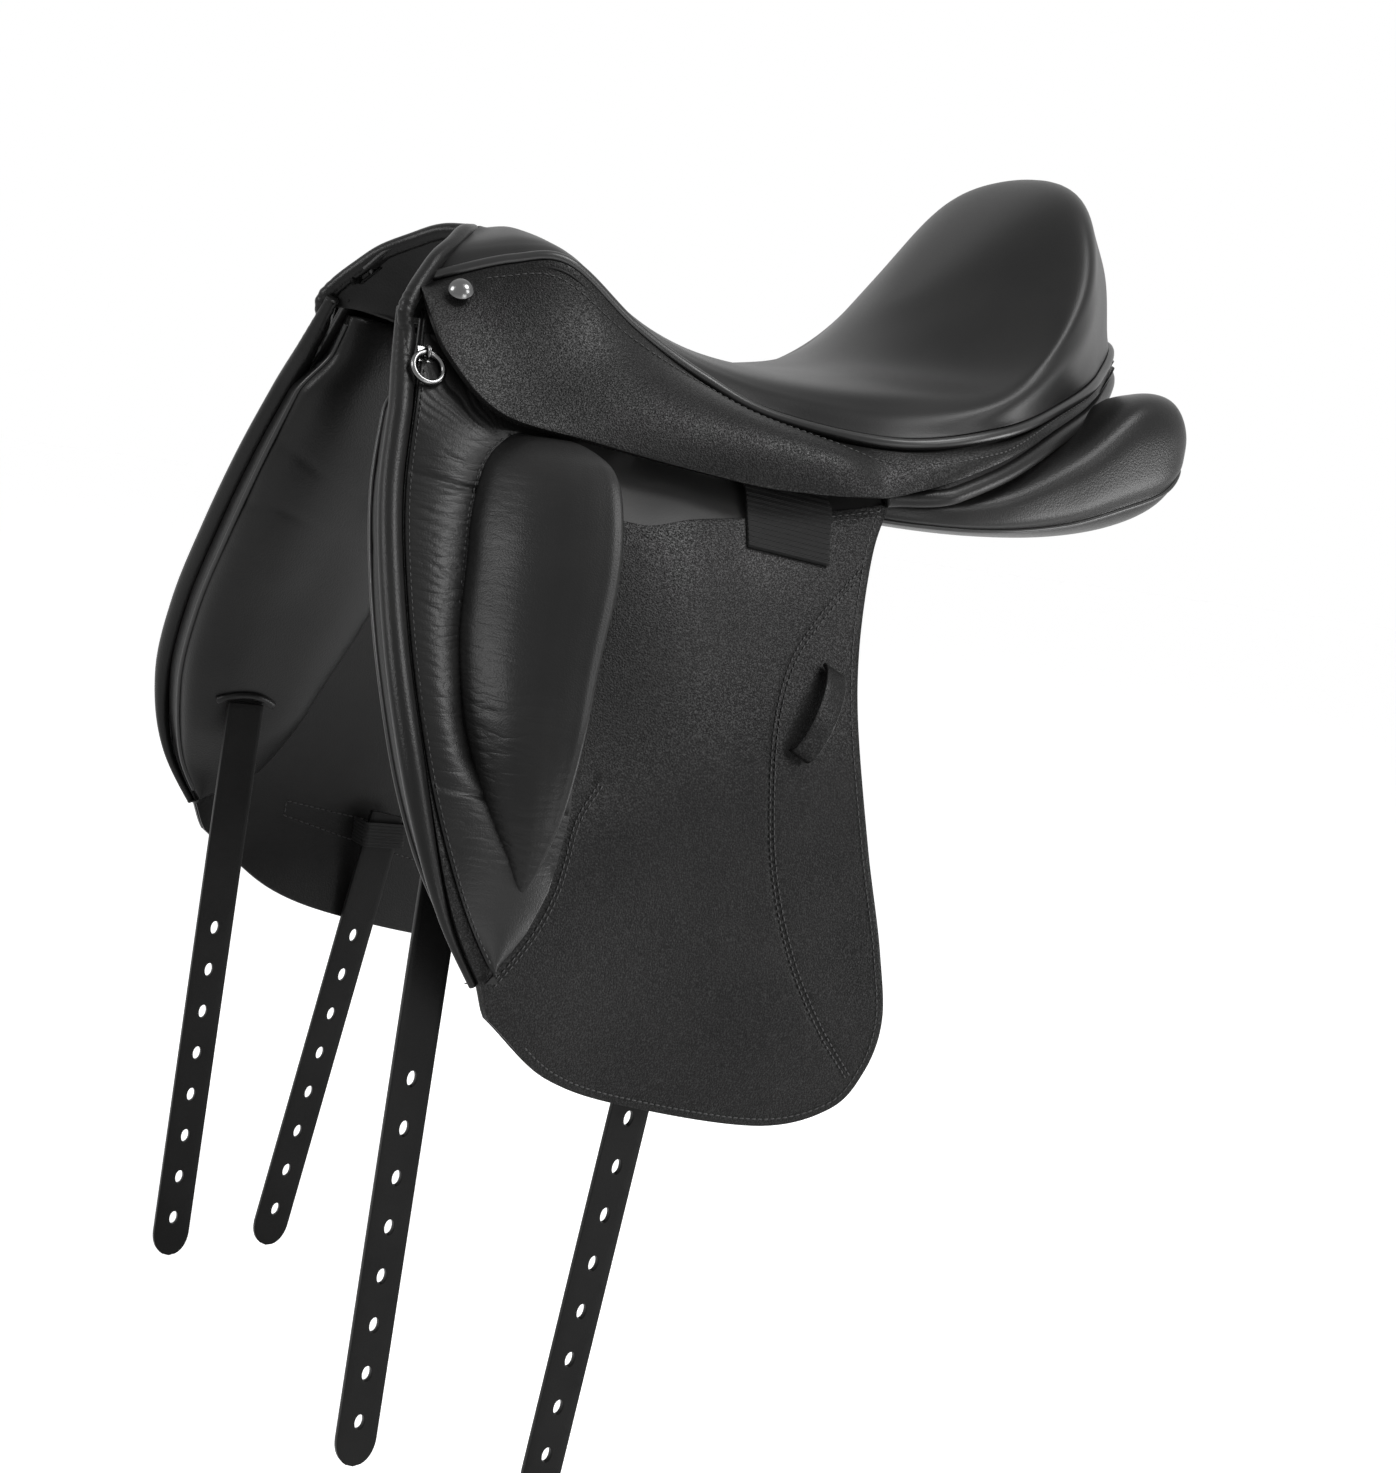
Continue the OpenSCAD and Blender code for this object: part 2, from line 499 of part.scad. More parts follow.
// Rear panel: stations along the horse with inset from the channel, outer half width, underside,
// and top at the inner and the outer side
rear_stations = [[-128, 10, 76, 0, 18, 8], [-115, 4, 84, -8, 20, 4], [-70, 0, 93, -12, 20, 2],
    [-20, 0, 117, -13, 20, 4], [30, 0, 136.5, -14, 20, 6], [80, 0, 140, -13, 24, 16],
    [130, 0, 134, -9, 38, 36], [172, 3, 127, 0, 57.6, 59], [203, 10, 119, 14, 74.6, 73],
    [221, 26, 108, 36, 66, 64]];
panel_power = 0.62;
panel_sides = 16;
function power(c) = sign(c) * pow(abs(c), panel_power);
// Corner k of the section r of the panel: a rounded box between the channel and the outer side
function rear_corner(r, k) = let (a = k * 360 / panel_sides, f = 0.5 - 0.5 * power(cos(a)),
    low = at([r[0], r[2], r[3]]), high = at([r[0], r[2], mix(r[4], r[5], f)]))
    [low.x, mix(channel_w / 2 + r[1], low.y, f), mix(low.z, high.z, 0.5 + 0.5 * power(sin(a)))];
module rear_panel() color(soft_leather) loft([for (s = steps(20)) let (r = along(rear_stations, s))
    [for (k = [0 : panel_sides - 1]) rear_corner(r, k)]]);
// Binding between the rear panel and the skirt
module rear_binding() color(leather) {
    r = binding_d / 2;
    half = [for (s = steps(20)) edge_point(mix(fold_station - 0.4, last, s)) + [0, -1, -skirt_t - r - gap]];
    tube(both_sides(half), r, [0, 0, 1]);
}

// Dee ring on its staple, both laid on the slope of the flap
ring_place = [-227.5, 30];
ring_tilt = 28;
ring_r = (ring_d - ring_wire) / 2;
link_wire = 2;
link_r = ring_wire / 2 + gap + link_wire / 2;
ring_base_t = 1.6;
ring_stand = ring_base_t + ring_wire / 2 + 3 * gap;
module on_ring_place() translate(on_flap(ring_place[0], ring_place[1], ring_stand / cos(ring_tilt)))
    rotate([ring_tilt, 0, 0]) children();
module dee_ring() color(steel) on_ring_place() rotate([90, 0, 0])
    rotate_extrude() translate([ring_r, 0]) circle(d = ring_wire);
module ring_staple() color(steel) on_ring_place() translate([0, 0, ring_r]) {
    base_w = 8;
    base_h = 8;
    rotate([0, 90, 0]) rotate_extrude() translate([link_r, 0]) circle(d = link_wire);
    translate([-base_w / 2, gap - ring_stand, -base_h / 2]) cube([base_w, ring_base_t, base_h]);
}

// Stirrup bar, laid on the slope of the skirt: local +Y points out of the saddle and +Z up the slope
bar_place = [-84, 104, 32];
bar_tilt = 40;
bar_yaw = 7;
bar_pitch = 15;
bar_low = -14;
bar_face = -6.5;
plate_face = bar_face - bar_t - bar_slot;
plate_l = 58;
plate_low = -14;
plate_high = 22;
module on_bar_place() translate(at(bar_place)) rotate([bar_tilt, 0, 0]) rotate([0, 0, bar_yaw])
    rotate([0, bar_pitch, 0]) children();
cheek_slot = catch_t + 2 * gap;
catch_x = bar_l / 2 - bar_h / 2;
module stirrup_bar() color(steel) on_bar_place() difference() {
    union() {
        translate([-bar_l / 2, plate_face - plate_t, plate_low])
            cube([plate_l, plate_t, plate_high - plate_low]);
        translate([0, 0, bar_low - bar_h / 2]) linear_extrude(bar_h) {
            translate([-bar_l / 2, plate_face]) square([bar_t + 3, bar_slot + bar_t]);
            translate([-bar_l / 2, bar_face - bar_t]) square([bar_l - bar_h / 2, bar_t]);
        }
        translate([catch_x, bar_face, bar_low]) rotate([90, 0, 0]) cylinder(d = bar_h, h = bar_t);
    }
    translate([catch_x - bar_h, bar_face - bar_t / 2 - cheek_slot / 2, bar_low - bar_h])
        cube([2 * bar_h, cheek_slot, 2 * bar_h]);
    translate([catch_x, bar_face + 1, bar_low]) rotate([90, 0, 0])
        cylinder(d = pin_d + 2 * gap, h = bar_t + 2);
    rivet_places() translate([0, 1, 0]) rotate([90, 0, 0]) cylinder(d = rivet_d + 2 * gap, h = plate_t + 2);
}
module bar_catch() {
    eye_d = bar_h - 2;
    tongue_h = bar_h / 2;
    color(steel) on_bar_place() translate([catch_x, bar_face - bar_t / 2 + catch_t / 2, bar_low])
        rotate([90, 0, 0]) linear_extrude(catch_t) difference() {
            union() {
                circle(d = eye_d);
                translate([0, -tongue_h / 2]) square([catch_l - tongue_h / 2, tongue_h]);
                translate([catch_l - tongue_h / 2, 0]) circle(d = tongue_h);
            }
            circle(d = pin_d + 2 * gap);
        }
}
module catch_pin() color(steel) on_bar_place()
    translate([catch_x, bar_face - gap / 2, bar_low]) rotate([90, 0, 0])
        cylinder(d = pin_d, h = bar_t - gap);
module rivet_places() for (x = [-24, 6]) translate([x, plate_face, 15]) children();
module bar_rivets() color(steel) for (s = [0, 1]) mirror([0, s, 0]) on_bar_place() rivet_places() {
    head_h = 1.6;
    tail = 1;
    translate([0, head_h + gap, 0]) rotate([90, 0, 0]) {
        cylinder(d = 2 * rivet_d, h = head_h);
        cylinder(d = rivet_d, h = head_h + gap + plate_t + tail);
    }
}

// Billets: flat straps that hang on the horse's side of the sweat flap
front_slot = [-213, 148, -176];
rear_slot = [-102, 180, -240];
tip_margin = 23;
module billet_outline(l) difference() {
    union() {
        translate([-billet_w / 2, -l + billet_w]) square([billet_w, l - billet_w]);
        translate([0, -l + billet_w]) intersection() {
            translate([billet_w / 2, 0]) circle(billet_w, $fn = 96);
            translate([-billet_w / 2, 0]) circle(billet_w, $fn = 96);
            translate([-billet_w, -2 * billet_w]) square(2 * billet_w);
        }
    }
    for (k = [0 : hole_count - 1]) translate([0, -l + tip_margin + k * hole_pitch]) {
        for (s = [-1, 1]) translate([0, s * (hole_h - hole_w) / 2]) circle(d = hole_w);
        square([hole_w, hole_h - hole_w], center = true);
    }
}
module billet(place, l, lean) color(leather) translate(at(place)) rotate([0, lean, 0])
    translate([0, billet_t / 2, 0]) rotate([90, 0, 0]) linear_extrude(billet_t) billet_outline(l);
module front_billet() billet(front_slot, front_billet_l, 0);
module rear_billet(lean) billet(rear_slot, rear_billet_l, lean);
// Elastic band that holds the rear billet to the sweat flap
module billet_keeper(lean) color(web_black) {
    band_t = 1.6;
    band_h = 15;
    drop = 5;
    room = 4;
    side = billet_w / 2 + band_h / 2 * tan(lean) + gap;
    deep = on_flap(rear_slot.x, rear_slot.z - drop - band_h, -panel_face).y - at(rear_slot).y - gap;
    inner = -billet_t / 2 - room;
    translate(at(rear_slot) - [(drop + band_h / 2) * tan(lean), 0, drop + band_h]) linear_extrude(band_h)
        difference() {
            translate([-side - band_t, inner - band_t]) square([2 * (side + band_t), deep - inner + band_t]);
            translate([-side, inner]) square([2 * side, deep - inner + 1]);
        }
}

tree();
gullet_plate();
gullet_screws();
seat_webs();
seat_foam();
seat_centre();
seat_facing();
seat_welt();
head_welt();
head_lining();
rear_binding();
bar_rivets();
near() skirt();  // near_skirt
off() skirt();  // off_skirt
near() skirt_lobe();  // near_skirt_lobe
off() skirt_lobe();  // off_skirt_lobe
near() stud();  // near_stud
off() stud();  // off_stud
near() ring_staple();  // near_ring_staple
off() ring_staple();  // off_ring_staple
near() dee_ring();  // near_dee_ring
off() dee_ring();  // off_dee_ring
near() stirrup_bar();  // near_stirrup_bar
off() stirrup_bar();  // off_stirrup_bar
near() bar_catch();  // near_bar_catch
off() bar_catch();  // off_bar_catch
near() catch_pin();  // near_catch_pin
off() catch_pin();  // off_catch_pin
near() bar_lining();  // near_bar_lining
off() bar_lining();  // off_bar_lining
near() flap();  // near_flap
off() flap();  // off_flap
near() flap_roll();  // near_flap_roll
off() flap_roll();  // off_flap_roll
near() knee_roll();  // near_knee_roll
off() knee_roll();  // off_knee_roll
near() gathered_strip();  // near_gathered_strip
off() gathered_strip();  // off_gathered_strip
near() leather_keeper();  // near_leather_keeper
off() leather_keeper();  // off_leather_keeper
near() girth_web();  // near_girth_web
off() girth_web();  // off_girth_web
near() front_panel();  // near_front_panel
off() front_panel();  // off_front_panel
near() rear_panel();  // near_rear_panel
off() rear_panel();  // off_rear_panel
near() sweat_flap();  // near_sweat_flap
off() sweat_flap();  // off_sweat_flap
near() front_billet();  // near_front_billet
off() front_billet();  // off_front_billet
near() rear_billet(near_lean);  // near_rear_billet
off() rear_billet(off_lean);  // off_rear_billet
near() billet_keeper(near_lean);  // near_billet_keeper
off() billet_keeper(off_lean);  // off_billet_keeper
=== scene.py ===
# %% [markdown]
# A black dressage saddle, dressed in leather. The packed model gives every piece its place and
# its body; this lesson gives each one its real surface. The frame is loaded first and its box is
# kept, because the dressed saddle may stand only a little proud of it.

# %% Load the frame
import math

import bmesh
import bpy
import numpy as np
from mathutils import Matrix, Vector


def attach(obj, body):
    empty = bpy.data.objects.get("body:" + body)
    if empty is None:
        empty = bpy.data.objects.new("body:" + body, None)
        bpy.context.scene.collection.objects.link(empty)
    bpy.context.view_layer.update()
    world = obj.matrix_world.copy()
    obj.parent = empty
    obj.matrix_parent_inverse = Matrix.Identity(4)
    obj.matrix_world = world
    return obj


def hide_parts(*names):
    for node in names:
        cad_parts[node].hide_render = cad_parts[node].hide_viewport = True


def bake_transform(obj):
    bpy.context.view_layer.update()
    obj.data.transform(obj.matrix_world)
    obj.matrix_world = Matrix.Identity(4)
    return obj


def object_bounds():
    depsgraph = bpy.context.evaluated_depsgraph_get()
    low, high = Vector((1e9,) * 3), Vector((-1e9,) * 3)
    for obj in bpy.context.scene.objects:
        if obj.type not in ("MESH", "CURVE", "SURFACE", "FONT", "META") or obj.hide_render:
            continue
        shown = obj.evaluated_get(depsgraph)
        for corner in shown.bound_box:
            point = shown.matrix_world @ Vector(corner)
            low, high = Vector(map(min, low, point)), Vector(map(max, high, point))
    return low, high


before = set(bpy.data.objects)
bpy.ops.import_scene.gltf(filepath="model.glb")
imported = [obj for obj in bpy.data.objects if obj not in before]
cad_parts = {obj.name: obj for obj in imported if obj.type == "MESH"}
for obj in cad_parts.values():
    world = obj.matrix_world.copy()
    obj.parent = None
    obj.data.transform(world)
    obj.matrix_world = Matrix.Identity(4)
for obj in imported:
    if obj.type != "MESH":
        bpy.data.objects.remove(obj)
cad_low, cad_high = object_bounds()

# %% [markdown]
# The camera stands at the near side, ahead of the girth and a little above the seat, and is
# rolled by some degrees. A constraint could aim it. Its three axes are written out from the turn,
# the tilt and the roll instead, so the picture plane is exact.

# %% Camera
TURN, TILT, ROLL = np.radians([30.0, 7.0, 9.3])
LOOK_AT, DISTANCE = np.array([0.0, 0.0, -0.150]), 1.510
FOCAL_PX, PICTURE_H = 2680, 1473


def placement(side, up, back, at):
    """The matrix of a thing at a point that has side, up and back as its own x, y and z."""
    m = np.eye(4)
    m[:3, :3] = np.stack([side, up, back], 1)
    m[:3, 3] = at
    return Matrix(m.tolist())


scene = bpy.context.scene
scene.view_settings.view_transform = "Standard"
ahead = np.array([math.cos(TILT) * math.sin(TURN), math.cos(TILT) * math.cos(TURN),
                  -math.sin(TILT)])
level = np.array([math.cos(TURN), -math.sin(TURN), 0.0])
above = np.cross(level, ahead)
right = math.cos(ROLL) * level + math.sin(ROLL) * above
up = math.cos(ROLL) * above - math.sin(ROLL) * level
stand = LOOK_AT - DISTANCE * ahead
camera = bpy.data.objects.new("camera", bpy.data.cameras.new("camera"))
scene.collection.objects.link(camera)
camera.matrix_world = placement(right, up, -ahead, stand)
camera.data.lens = FOCAL_PX / PICTURE_H * camera.data.sensor_width
scene.camera = camera
print("camera at", np.round(stand, 3), "m, lens", round(camera.data.lens, 1), "mm")

# %% [markdown]
# Black leather shows its form only through what it reflects, so each lamp stands where some face
# mirrors it to the camera: one over the seat for its flank, one at the side for the edge of the
# knee roll, one in front for the arch and the panels, a low one for the flap and one for the face
# of the knee roll. Square lamps are used, because their edges fade softly on curved leather.

# %% Studio
LAMPS = {"lamp_over": ((0.40, -0.80, 1.40), (0, 0, 0), 0.6, 22),
         "lamp_side": ((1.40, -0.75, -0.25), (0, -0.1, -0.1), 0.5, 14),
         "lamp_front": ((-1.50, 0.10, 0.65), (-0.15, 0, -0.1), 0.5, 10),
         "lamp_low": ((0.05, -1.70, -0.32), (0, -0.1, -0.2), 0.7, 8),
         "lamp_knee": ((0.55, -1.25, 0.65), (-0.15, -0.2, -0.1), 0.5, 7)}


def soft_lamp(name, at, aim, size, watts):
    """A square lamp that faces a point: its back points away from it, and its side is level."""
    lamp = bpy.data.lights.new(name, "AREA")
    lamp.shape, lamp.size, lamp.energy = "SQUARE", size, watts
    made = bpy.data.objects.new(name, lamp)
    back = np.array(at, float) - np.array(aim, float)
    back /= np.linalg.norm(back)
    side = np.cross([0.0, 0.0, 1.0], back)
    side /= np.linalg.norm(side)
    made.matrix_world = placement(side, np.cross(back, side), back, at)
    scene.collection.objects.link(made)


for name, lamp in LAMPS.items():
    soft_lamp(name, *lamp)
print("lamps", len(LAMPS), "with", sum(lamp[-1] for lamp in LAMPS.values()), "W together")

# %% [markdown]
# Finishes are node trees. Their maths could be wired by hand, node by node, but then nobody can
# read it. One small class wraps an output socket instead, and arithmetic on it adds the Math
# nodes, so a shader reads like the formula it is.

# %% Shader terms
class Term:
    """An output socket of a finish; arithmetic on it adds Math nodes."""

    def __init__(self, finish, socket):
        self.finish, self.socket = finish, socket

    def calc(self, operation, *terms):
        """One Math node on terms or numbers."""
        return self.finish.node("ShaderNodeMath", {"operation": operation}, dict(enumerate(terms)))

    def __add__(self, other):
        return self.calc("ADD", self, other)

    def __mul__(self, other):
        return self.calc("MULTIPLY", self, other)

    def __sub__(self, other):
        return self.calc("SUBTRACT", self, other)

    def __rsub__(self, other):
        return self.calc("SUBTRACT", other, self)

    def __pow__(self, other):
        return self.calc("POWER", self, other)

    def __abs__(self):
        return self.calc("ABSOLUTE", self)

    __radd__, __rmul__ = __add__, __mul__

    def span(self, low, high):
        """0 below low, 1 above high, straight between."""
        return self.finish.node("ShaderNodeMapRange", {}, {"Value": self, 1: low, 2: high})


print("Term:", Term.__doc__)

# %% [markdown]
# A second class holds the node tree of a material, or of the world, and the shader in it. Every
# other node could have its own function. One method makes them all, from a node's type, its
# settings and what goes into its sockets, and short names cover the few kinds that leather needs.

# %% Finish trees
class Finish:
    """The node tree of a material or of the world, and the shader that it feeds."""

    def __init__(self, owner, shader="Principled BSDF"):
        owner.use_nodes = True
        self.owner, self.tree = owner, owner.node_tree
        self.shader = self.tree.nodes[shader]

    def node(self, kind, settings, inputs, out=0):
        """Any node: its settings first, then the values or links of its sockets."""
        made = self.tree.nodes.new(kind)
        for key, value in settings.items():
            setattr(made, key, value)
        for key, value in inputs.items():
            self.feed(made.inputs[key], value)
        return Term(self, made.outputs[out])

    def feed(self, socket, value):
        """A term is linked to the socket; a number or a colour is written on it."""
        if isinstance(value, Term):
            self.tree.links.new(value.socket, socket)
        else:
            socket.default_value = value

    def place(self, kind="Object"):
        """Coordinates of the surface: the object's own, or its map."""
        return self.node("ShaderNodeTexCoord", {}, {}, kind)

    def noise(self, at, scale, detail=2.0, rough=0.5):
        """Cloudy noise, about 0.5, with so many waves to a metre."""
        return self.node("ShaderNodeTexNoise", {}, {"Vector": at, "Scale": scale, "Detail": detail,
                                                    "Roughness": rough})

    def mix(self, share, a, b):
        """Colour a at share 0, colour b at 1."""
        return self.node("ShaderNodeMix", {"data_type": "RGBA"}, {0: share, 6: a, 7: b}, 2)

    def relief(self, height, distance):
        """A normal bent by a height, which is in units of the distance."""
        return self.node("ShaderNodeBump", {}, {"Height": height, "Distance": distance})

    def seen(self):
        """1 for a ray from the camera, off gloss or through glass, 0 for any other."""
        camera_ray, gloss, glass = (self.node("ShaderNodeLightPath", {}, {}, f"Is {kind} Ray")
                                    for kind in ("Camera", "Glossy", "Transmission"))
        return (camera_ray + gloss + glass).span(0.0, 1.0)

    def set(self, **inputs):
        """Feeds the shader; an underscore stands for a space in the name of its socket."""
        for key, value in inputs.items():
            self.feed(self.shader.inputs[key.replace("_", " ")], value)
        return self.owner


def new_finish(name):
    """A finish on a new material."""
    return Finish(bpy.data.materials.new(name))


def grey(value, warm=0.0):
    """A grey with a little more red and less blue."""
    return (value * (1 + warm), value, value * (1 - warm), 1.0)


print("a warm grey:", np.round(grey(0.5, 0.015), 4))

# %% [markdown]
# Leather is a skin: cells of grain with valleys between them, cloudy differences of dye, and a
# finish that is duller in the valleys. The seat is smooth calf, the flaps and skirts are pebbled,
# the panels are soft and finer. One recipe with a few numbers covers them all, read in object
# coordinates. A scanned picture would stretch with each piece, while the formula keeps the grain
# at its real size in millimetres.

# %% Leather finishes
# The bar lining is the same black leather as the rest; its lighter tone is painted light that
# lifts it out of the shade under the skirt.
BLACK, LINING_PAINTED_LIGHT, SHEEN = 0.0055, 0.022, 0.17
GRAIN_SCALE, SPECK_SCALE, CLOUD_SCALE, LACQUER_SCALE = 1000, 1400, 18, 1200.0
CLOUDS, FADED, WARM, LACQUERED = (0.35, 0.7), 1.6, 0.015, (0.45, 0.70)
CLOUD_GLOSS, VALLEY_GLOSS, RELIEF_UNIT = 0.10, 0.06, 0.001
STREAK, STREAK_SHARP = (45.0, 45.0, 210.0), 4.0


def leather(name, tone, grain_mm, depth_mm, gloss, cells=1.0, wrinkle_mm=0.0, polish=0.0,
            sheen=SHEEN):
    """Grain: round cells with valleys between them, plus fine noise. Tone and gloss drift in
    clouds. Wrinkles: ridges of a noise that is stretched along the horse, where the piece says it
    is slack. Polish: a coat of lacquer in fine spots of noise."""
    f = new_finish(name)
    at = f.place()
    cloud, speck = f.noise(at, CLOUD_SCALE, 3), f.noise(at, SPECK_SCALE / grain_mm, 2)
    pebble = 1.0 - f.node("ShaderNodeTexVoronoi", {"feature": "F1"},
                          {"Vector": at, "Scale": GRAIN_SCALE / grain_mm})
    height = depth_mm * (cells * pebble + (1.0 - 0.5 * cells) * speck)
    if wrinkle_mm:
        slack = f.node("ShaderNodeAttribute", {"attribute_name": "slack"}, {}, "Fac")
        bent = f.node("ShaderNodeVectorMath", {"operation": "MULTIPLY"}, {0: at, 1: STREAK})
        streak = f.noise(bent, 1.0, 1.5, 0.45) - 0.5
        ridge = (1.0 - STREAK_SHARP * abs(streak)).span(0.0, 1.0) ** 2.0
        height = height - wrinkle_mm * slack * ridge
    f.set(Base_Color=f.mix(cloud.span(*CLOUDS), grey(tone), grey(tone * FADED, WARM)),
          Roughness=gloss + CLOUD_GLOSS * cloud - VALLEY_GLOSS * pebble,
          Normal=f.relief(height, RELIEF_UNIT), Specular_IOR_Level=sheen)
    if polish:
        lacquer = f.noise(at, LACQUER_SCALE).span(*LACQUERED)
        f.set(Coat_Weight=polish * lacquer, Coat_Roughness=gloss)
    return f.owner


calf = leather("calf_leather", BLACK, 0.8, 0.05, 0.37, cells=0.6)
pebbled = leather("pebbled_leather", BLACK, 0.95, 0.20, 0.34, polish=0.30, sheen=0.06)
soft = leather("panel_leather", BLACK, 1.1, 0.10, 0.33, cells=0.7, sheen=0.15)
gathered = leather("gathered_leather", BLACK, 0.9, 0.09, 0.36, cells=0.7, wrinkle_mm=0.20)
strap = leather("strap_leather", BLACK, 0.7, 0.06, 0.36, cells=0.7, sheen=0.08)
# Lighter than black: painted light on the bar lining, not a grey leather.
lining = leather("lining_leather", LINING_PAINTED_LIGHT, 0.7, 0.04, 0.42, cells=0.6)
print("leathers:", *(f.name for f in (calf, pebbled, soft, gathered, strap, lining)))

# %% [markdown]
# Painted edges, waxed thread, metal, the moulded tree and the foam need less: a tone that drifts
# a little in clouds, and fine noise for gloss and relief. One colour would do from afar but looks
# like plastic close up. Metal differs in little more than its metallic setting, so all of them
# share one recipe.

# %% Plain finishes
DRIFT, DRIFTS, DRIFT_SCALE, FINE_GLOSS, METAL_SHEEN = 0.12, (0.3, 0.7), 25, 0.12, 0.5


def plain(name, tone, gloss, metal=0.0, scale=300, relief_mm=0.02):
    """A plain finish whose tone and gloss vary with fine noise."""
    f = new_finish(name)
    at = f.place()
    fine, cloud = f.noise(at, scale, 3), f.noise(at, DRIFT_SCALE, 2)
    dark, light = grey(tone * (1 - DRIFT)), grey(tone * (1 + DRIFT))
    return f.set(Base_Color=f.mix(cloud.span(*DRIFTS), dark, light), Metallic=metal,
                 Roughness=gloss + FINE_GLOSS * fine, Normal=f.relief(fine, relief_mm / 1000),
                 Specular_IOR_Level=METAL_SHEEN if metal else 2 * SHEEN)


edge_paint = plain("painted_edge", 0.006, 0.30)
thread = plain("waxed_thread", 0.014, 0.42, scale=1500, relief_mm=0.05)
nickel = plain("dark_nickel", 0.13, 0.16, metal=1.0, scale=500, relief_mm=0.004)
steel = plain("forged_steel", 0.42, 0.26, metal=1.0, scale=200, relief_mm=0.02)
moulded = plain("moulded_tree", 0.035, 0.5, scale=700, relief_mm=0.05)
foam = plain("seat_foam", 0.45, 0.9, scale=1200, relief_mm=0.25)
print("plain finishes:", *(f.name for f in (edge_paint, thread, nickel, steel, moulded, foam)))

# %% [markdown]
# Girth webs and elastic bands are woven, with ribs across them. The ribs themselves are in the
# mesh. The finish adds the threads, about three to a rib: their relief is real, and their colour
# is painted shade, darker between the threads and lighter on their tops. Object coordinates
# wouldn't follow a strap round a bend, so the threads are read from the piece's own map.

# %% Woven finishes
WEB_RIB, ELASTIC_RIB = 2.6, 2.0
WEAVE_SCALE, WEAVE_GLOSS, WEAVE_SHARE, WEAVE_HIGH = 2200, 0.62, 0.4, 0.0003


def webbing(name, rib_mm, tone):
    """Woven strap: threads are a wave along V of the piece's own map, which is in millimetres. The
    colour is darker in the wave's troughs and lighter on its crests, as painted shade.
    """
    f = new_finish(name)
    rib = f.node("ShaderNodeTexWave", {"bands_direction": "Y", "wave_profile": "SIN"},
                 {"Vector": f.place("UV"), "Scale": 1 / rib_mm, "Distortion": 0.4,
                  "Detail Scale": 2.0})
    weave = f.noise(f.place(), WEAVE_SCALE, 2)
    # Base colour follows the same wave as the relief: painted shade between the threads, lighter
    # tops.
    return f.set(Base_Color=f.mix(rib, grey(tone * 0.5), grey(tone * 1.6)),
                 Roughness=WEAVE_GLOSS + 0.1 * weave, Specular_IOR_Level=SHEEN,
                 Normal=f.relief(rib + WEAVE_SHARE * weave, WEAVE_HIGH))


web = webbing("ribbed_web", WEB_RIB, 0.010)
elastic = webbing("ribbed_elastic", ELASTIC_RIB, 0.012)
print("woven finishes:", web.name, elastic.name)

# %% [markdown]
# White around the saddle: the world is white to camera, gloss and glass and only a dim fill to
# the rest, so the background is bright without more light on the leather. The floor lies just
# under the tips of the billets and keeps a faint shadow.

# %% World and floor
WORLD_FILL, FLOOR_GLOW, FLOOR_DROP, FLOOR_REACH = 0.25, 0.72, 0.012, 9
WHITE, PALE = (1, 1, 1, 1), (0.85, 0.85, 0.85, 1)
scene.world = bpy.data.worlds.new("studio")
sky = Finish(scene.world, "Background")
sky.set(Color=WHITE, Strength=WORLD_FILL + (1 - WORLD_FILL) * sky.seen())

floor_z = cad_low.z - FLOOR_DROP
floor = bpy.data.objects.new("floor", bpy.data.meshes.new("floor"))
floor.data.from_pydata([(x * FLOOR_REACH, y * FLOOR_REACH, floor_z)
                        for x, y in ((-1, -1), (1, -1), (1, 1), (-1, 1))], [], [(0, 1, 2, 3)])
scene.collection.objects.link(floor)
paint = new_finish("white_floor")
paint.set(Base_Color=PALE, Roughness=0.9)
glow = paint.node("ShaderNodeEmission", {}, {"Strength": FLOOR_GLOW * paint.seen()})
both = paint.node("ShaderNodeAddShader", {}, {0: Term(paint, paint.shader.outputs[0]), 1: glow})
paint.feed(paint.tree.nodes["Material Output"].inputs["Surface"], both)
floor.data.materials.append(paint.owner)
print("floor at", round(floor_z, 4), "m")

# %% [markdown]
# The saddle's forms are guide curves, drawn in millimetres on the off side and carried over to
# the near side. A Bezier curve would need handles. A Catmull-Rom curve passes through each of its
# points, so the numbers can be read as places on the saddle.

# %% Curves
MM = 0.001
FLIP = np.array([1.0, -1.0, 1.0])
SIDES = (("near", FLIP), ("off", np.ones(3)))
OUTWARD, UPWARD, FORWARD = np.array([[0.0, 1.0, 0.0], [0.0, 0.0, 1.0], [1.0, 0.0, 0.0]])


def cubic(a, b, c, d, f):
    """A span from b at f = 0 to c at f = 1, heading along the chord of the neighbours at each."""
    return b + 0.5 * f * (c - a + f * (2 * a - 5 * b + 4 * c - d + f * (3 * (b - c) + d - a)))


def curve(points, u):
    """Cubic spans through the points, which lie at u = 0, 1, 2; both ends are carried on."""
    p = np.asarray(points, float)
    flat = p.ndim == 1
    p = p[:, None] if flat else p
    u = np.asarray(u, float)
    i = np.clip(np.floor(u).astype(int), 0, len(p) - 2)
    q = np.vstack([2 * p[0] - p[1], p, 2 * p[-1] - p[-2]])
    out = cubic(q[i], q[i + 1], q[i + 2], q[i + 3], (u - i)[..., None])
    return out[..., 0] if flat else out


def along(points, t):
    """The curve with t from 0 at its first point to 1 at its last."""
    return curve(points, np.asarray(t, float) * (len(points) - 1))


def both_halves(p):
    """A half from the off side, and its mirror image in reverse; the last row is shared."""
    return np.concatenate([p, (p * FLIP)[-2::-1]])


FOUR = np.array([[0, 0], [1, 2], [2, 1], [3, 3]], float)
print("a curve passes its points:", np.allclose(curve(FOUR, np.arange(4)), FOUR))

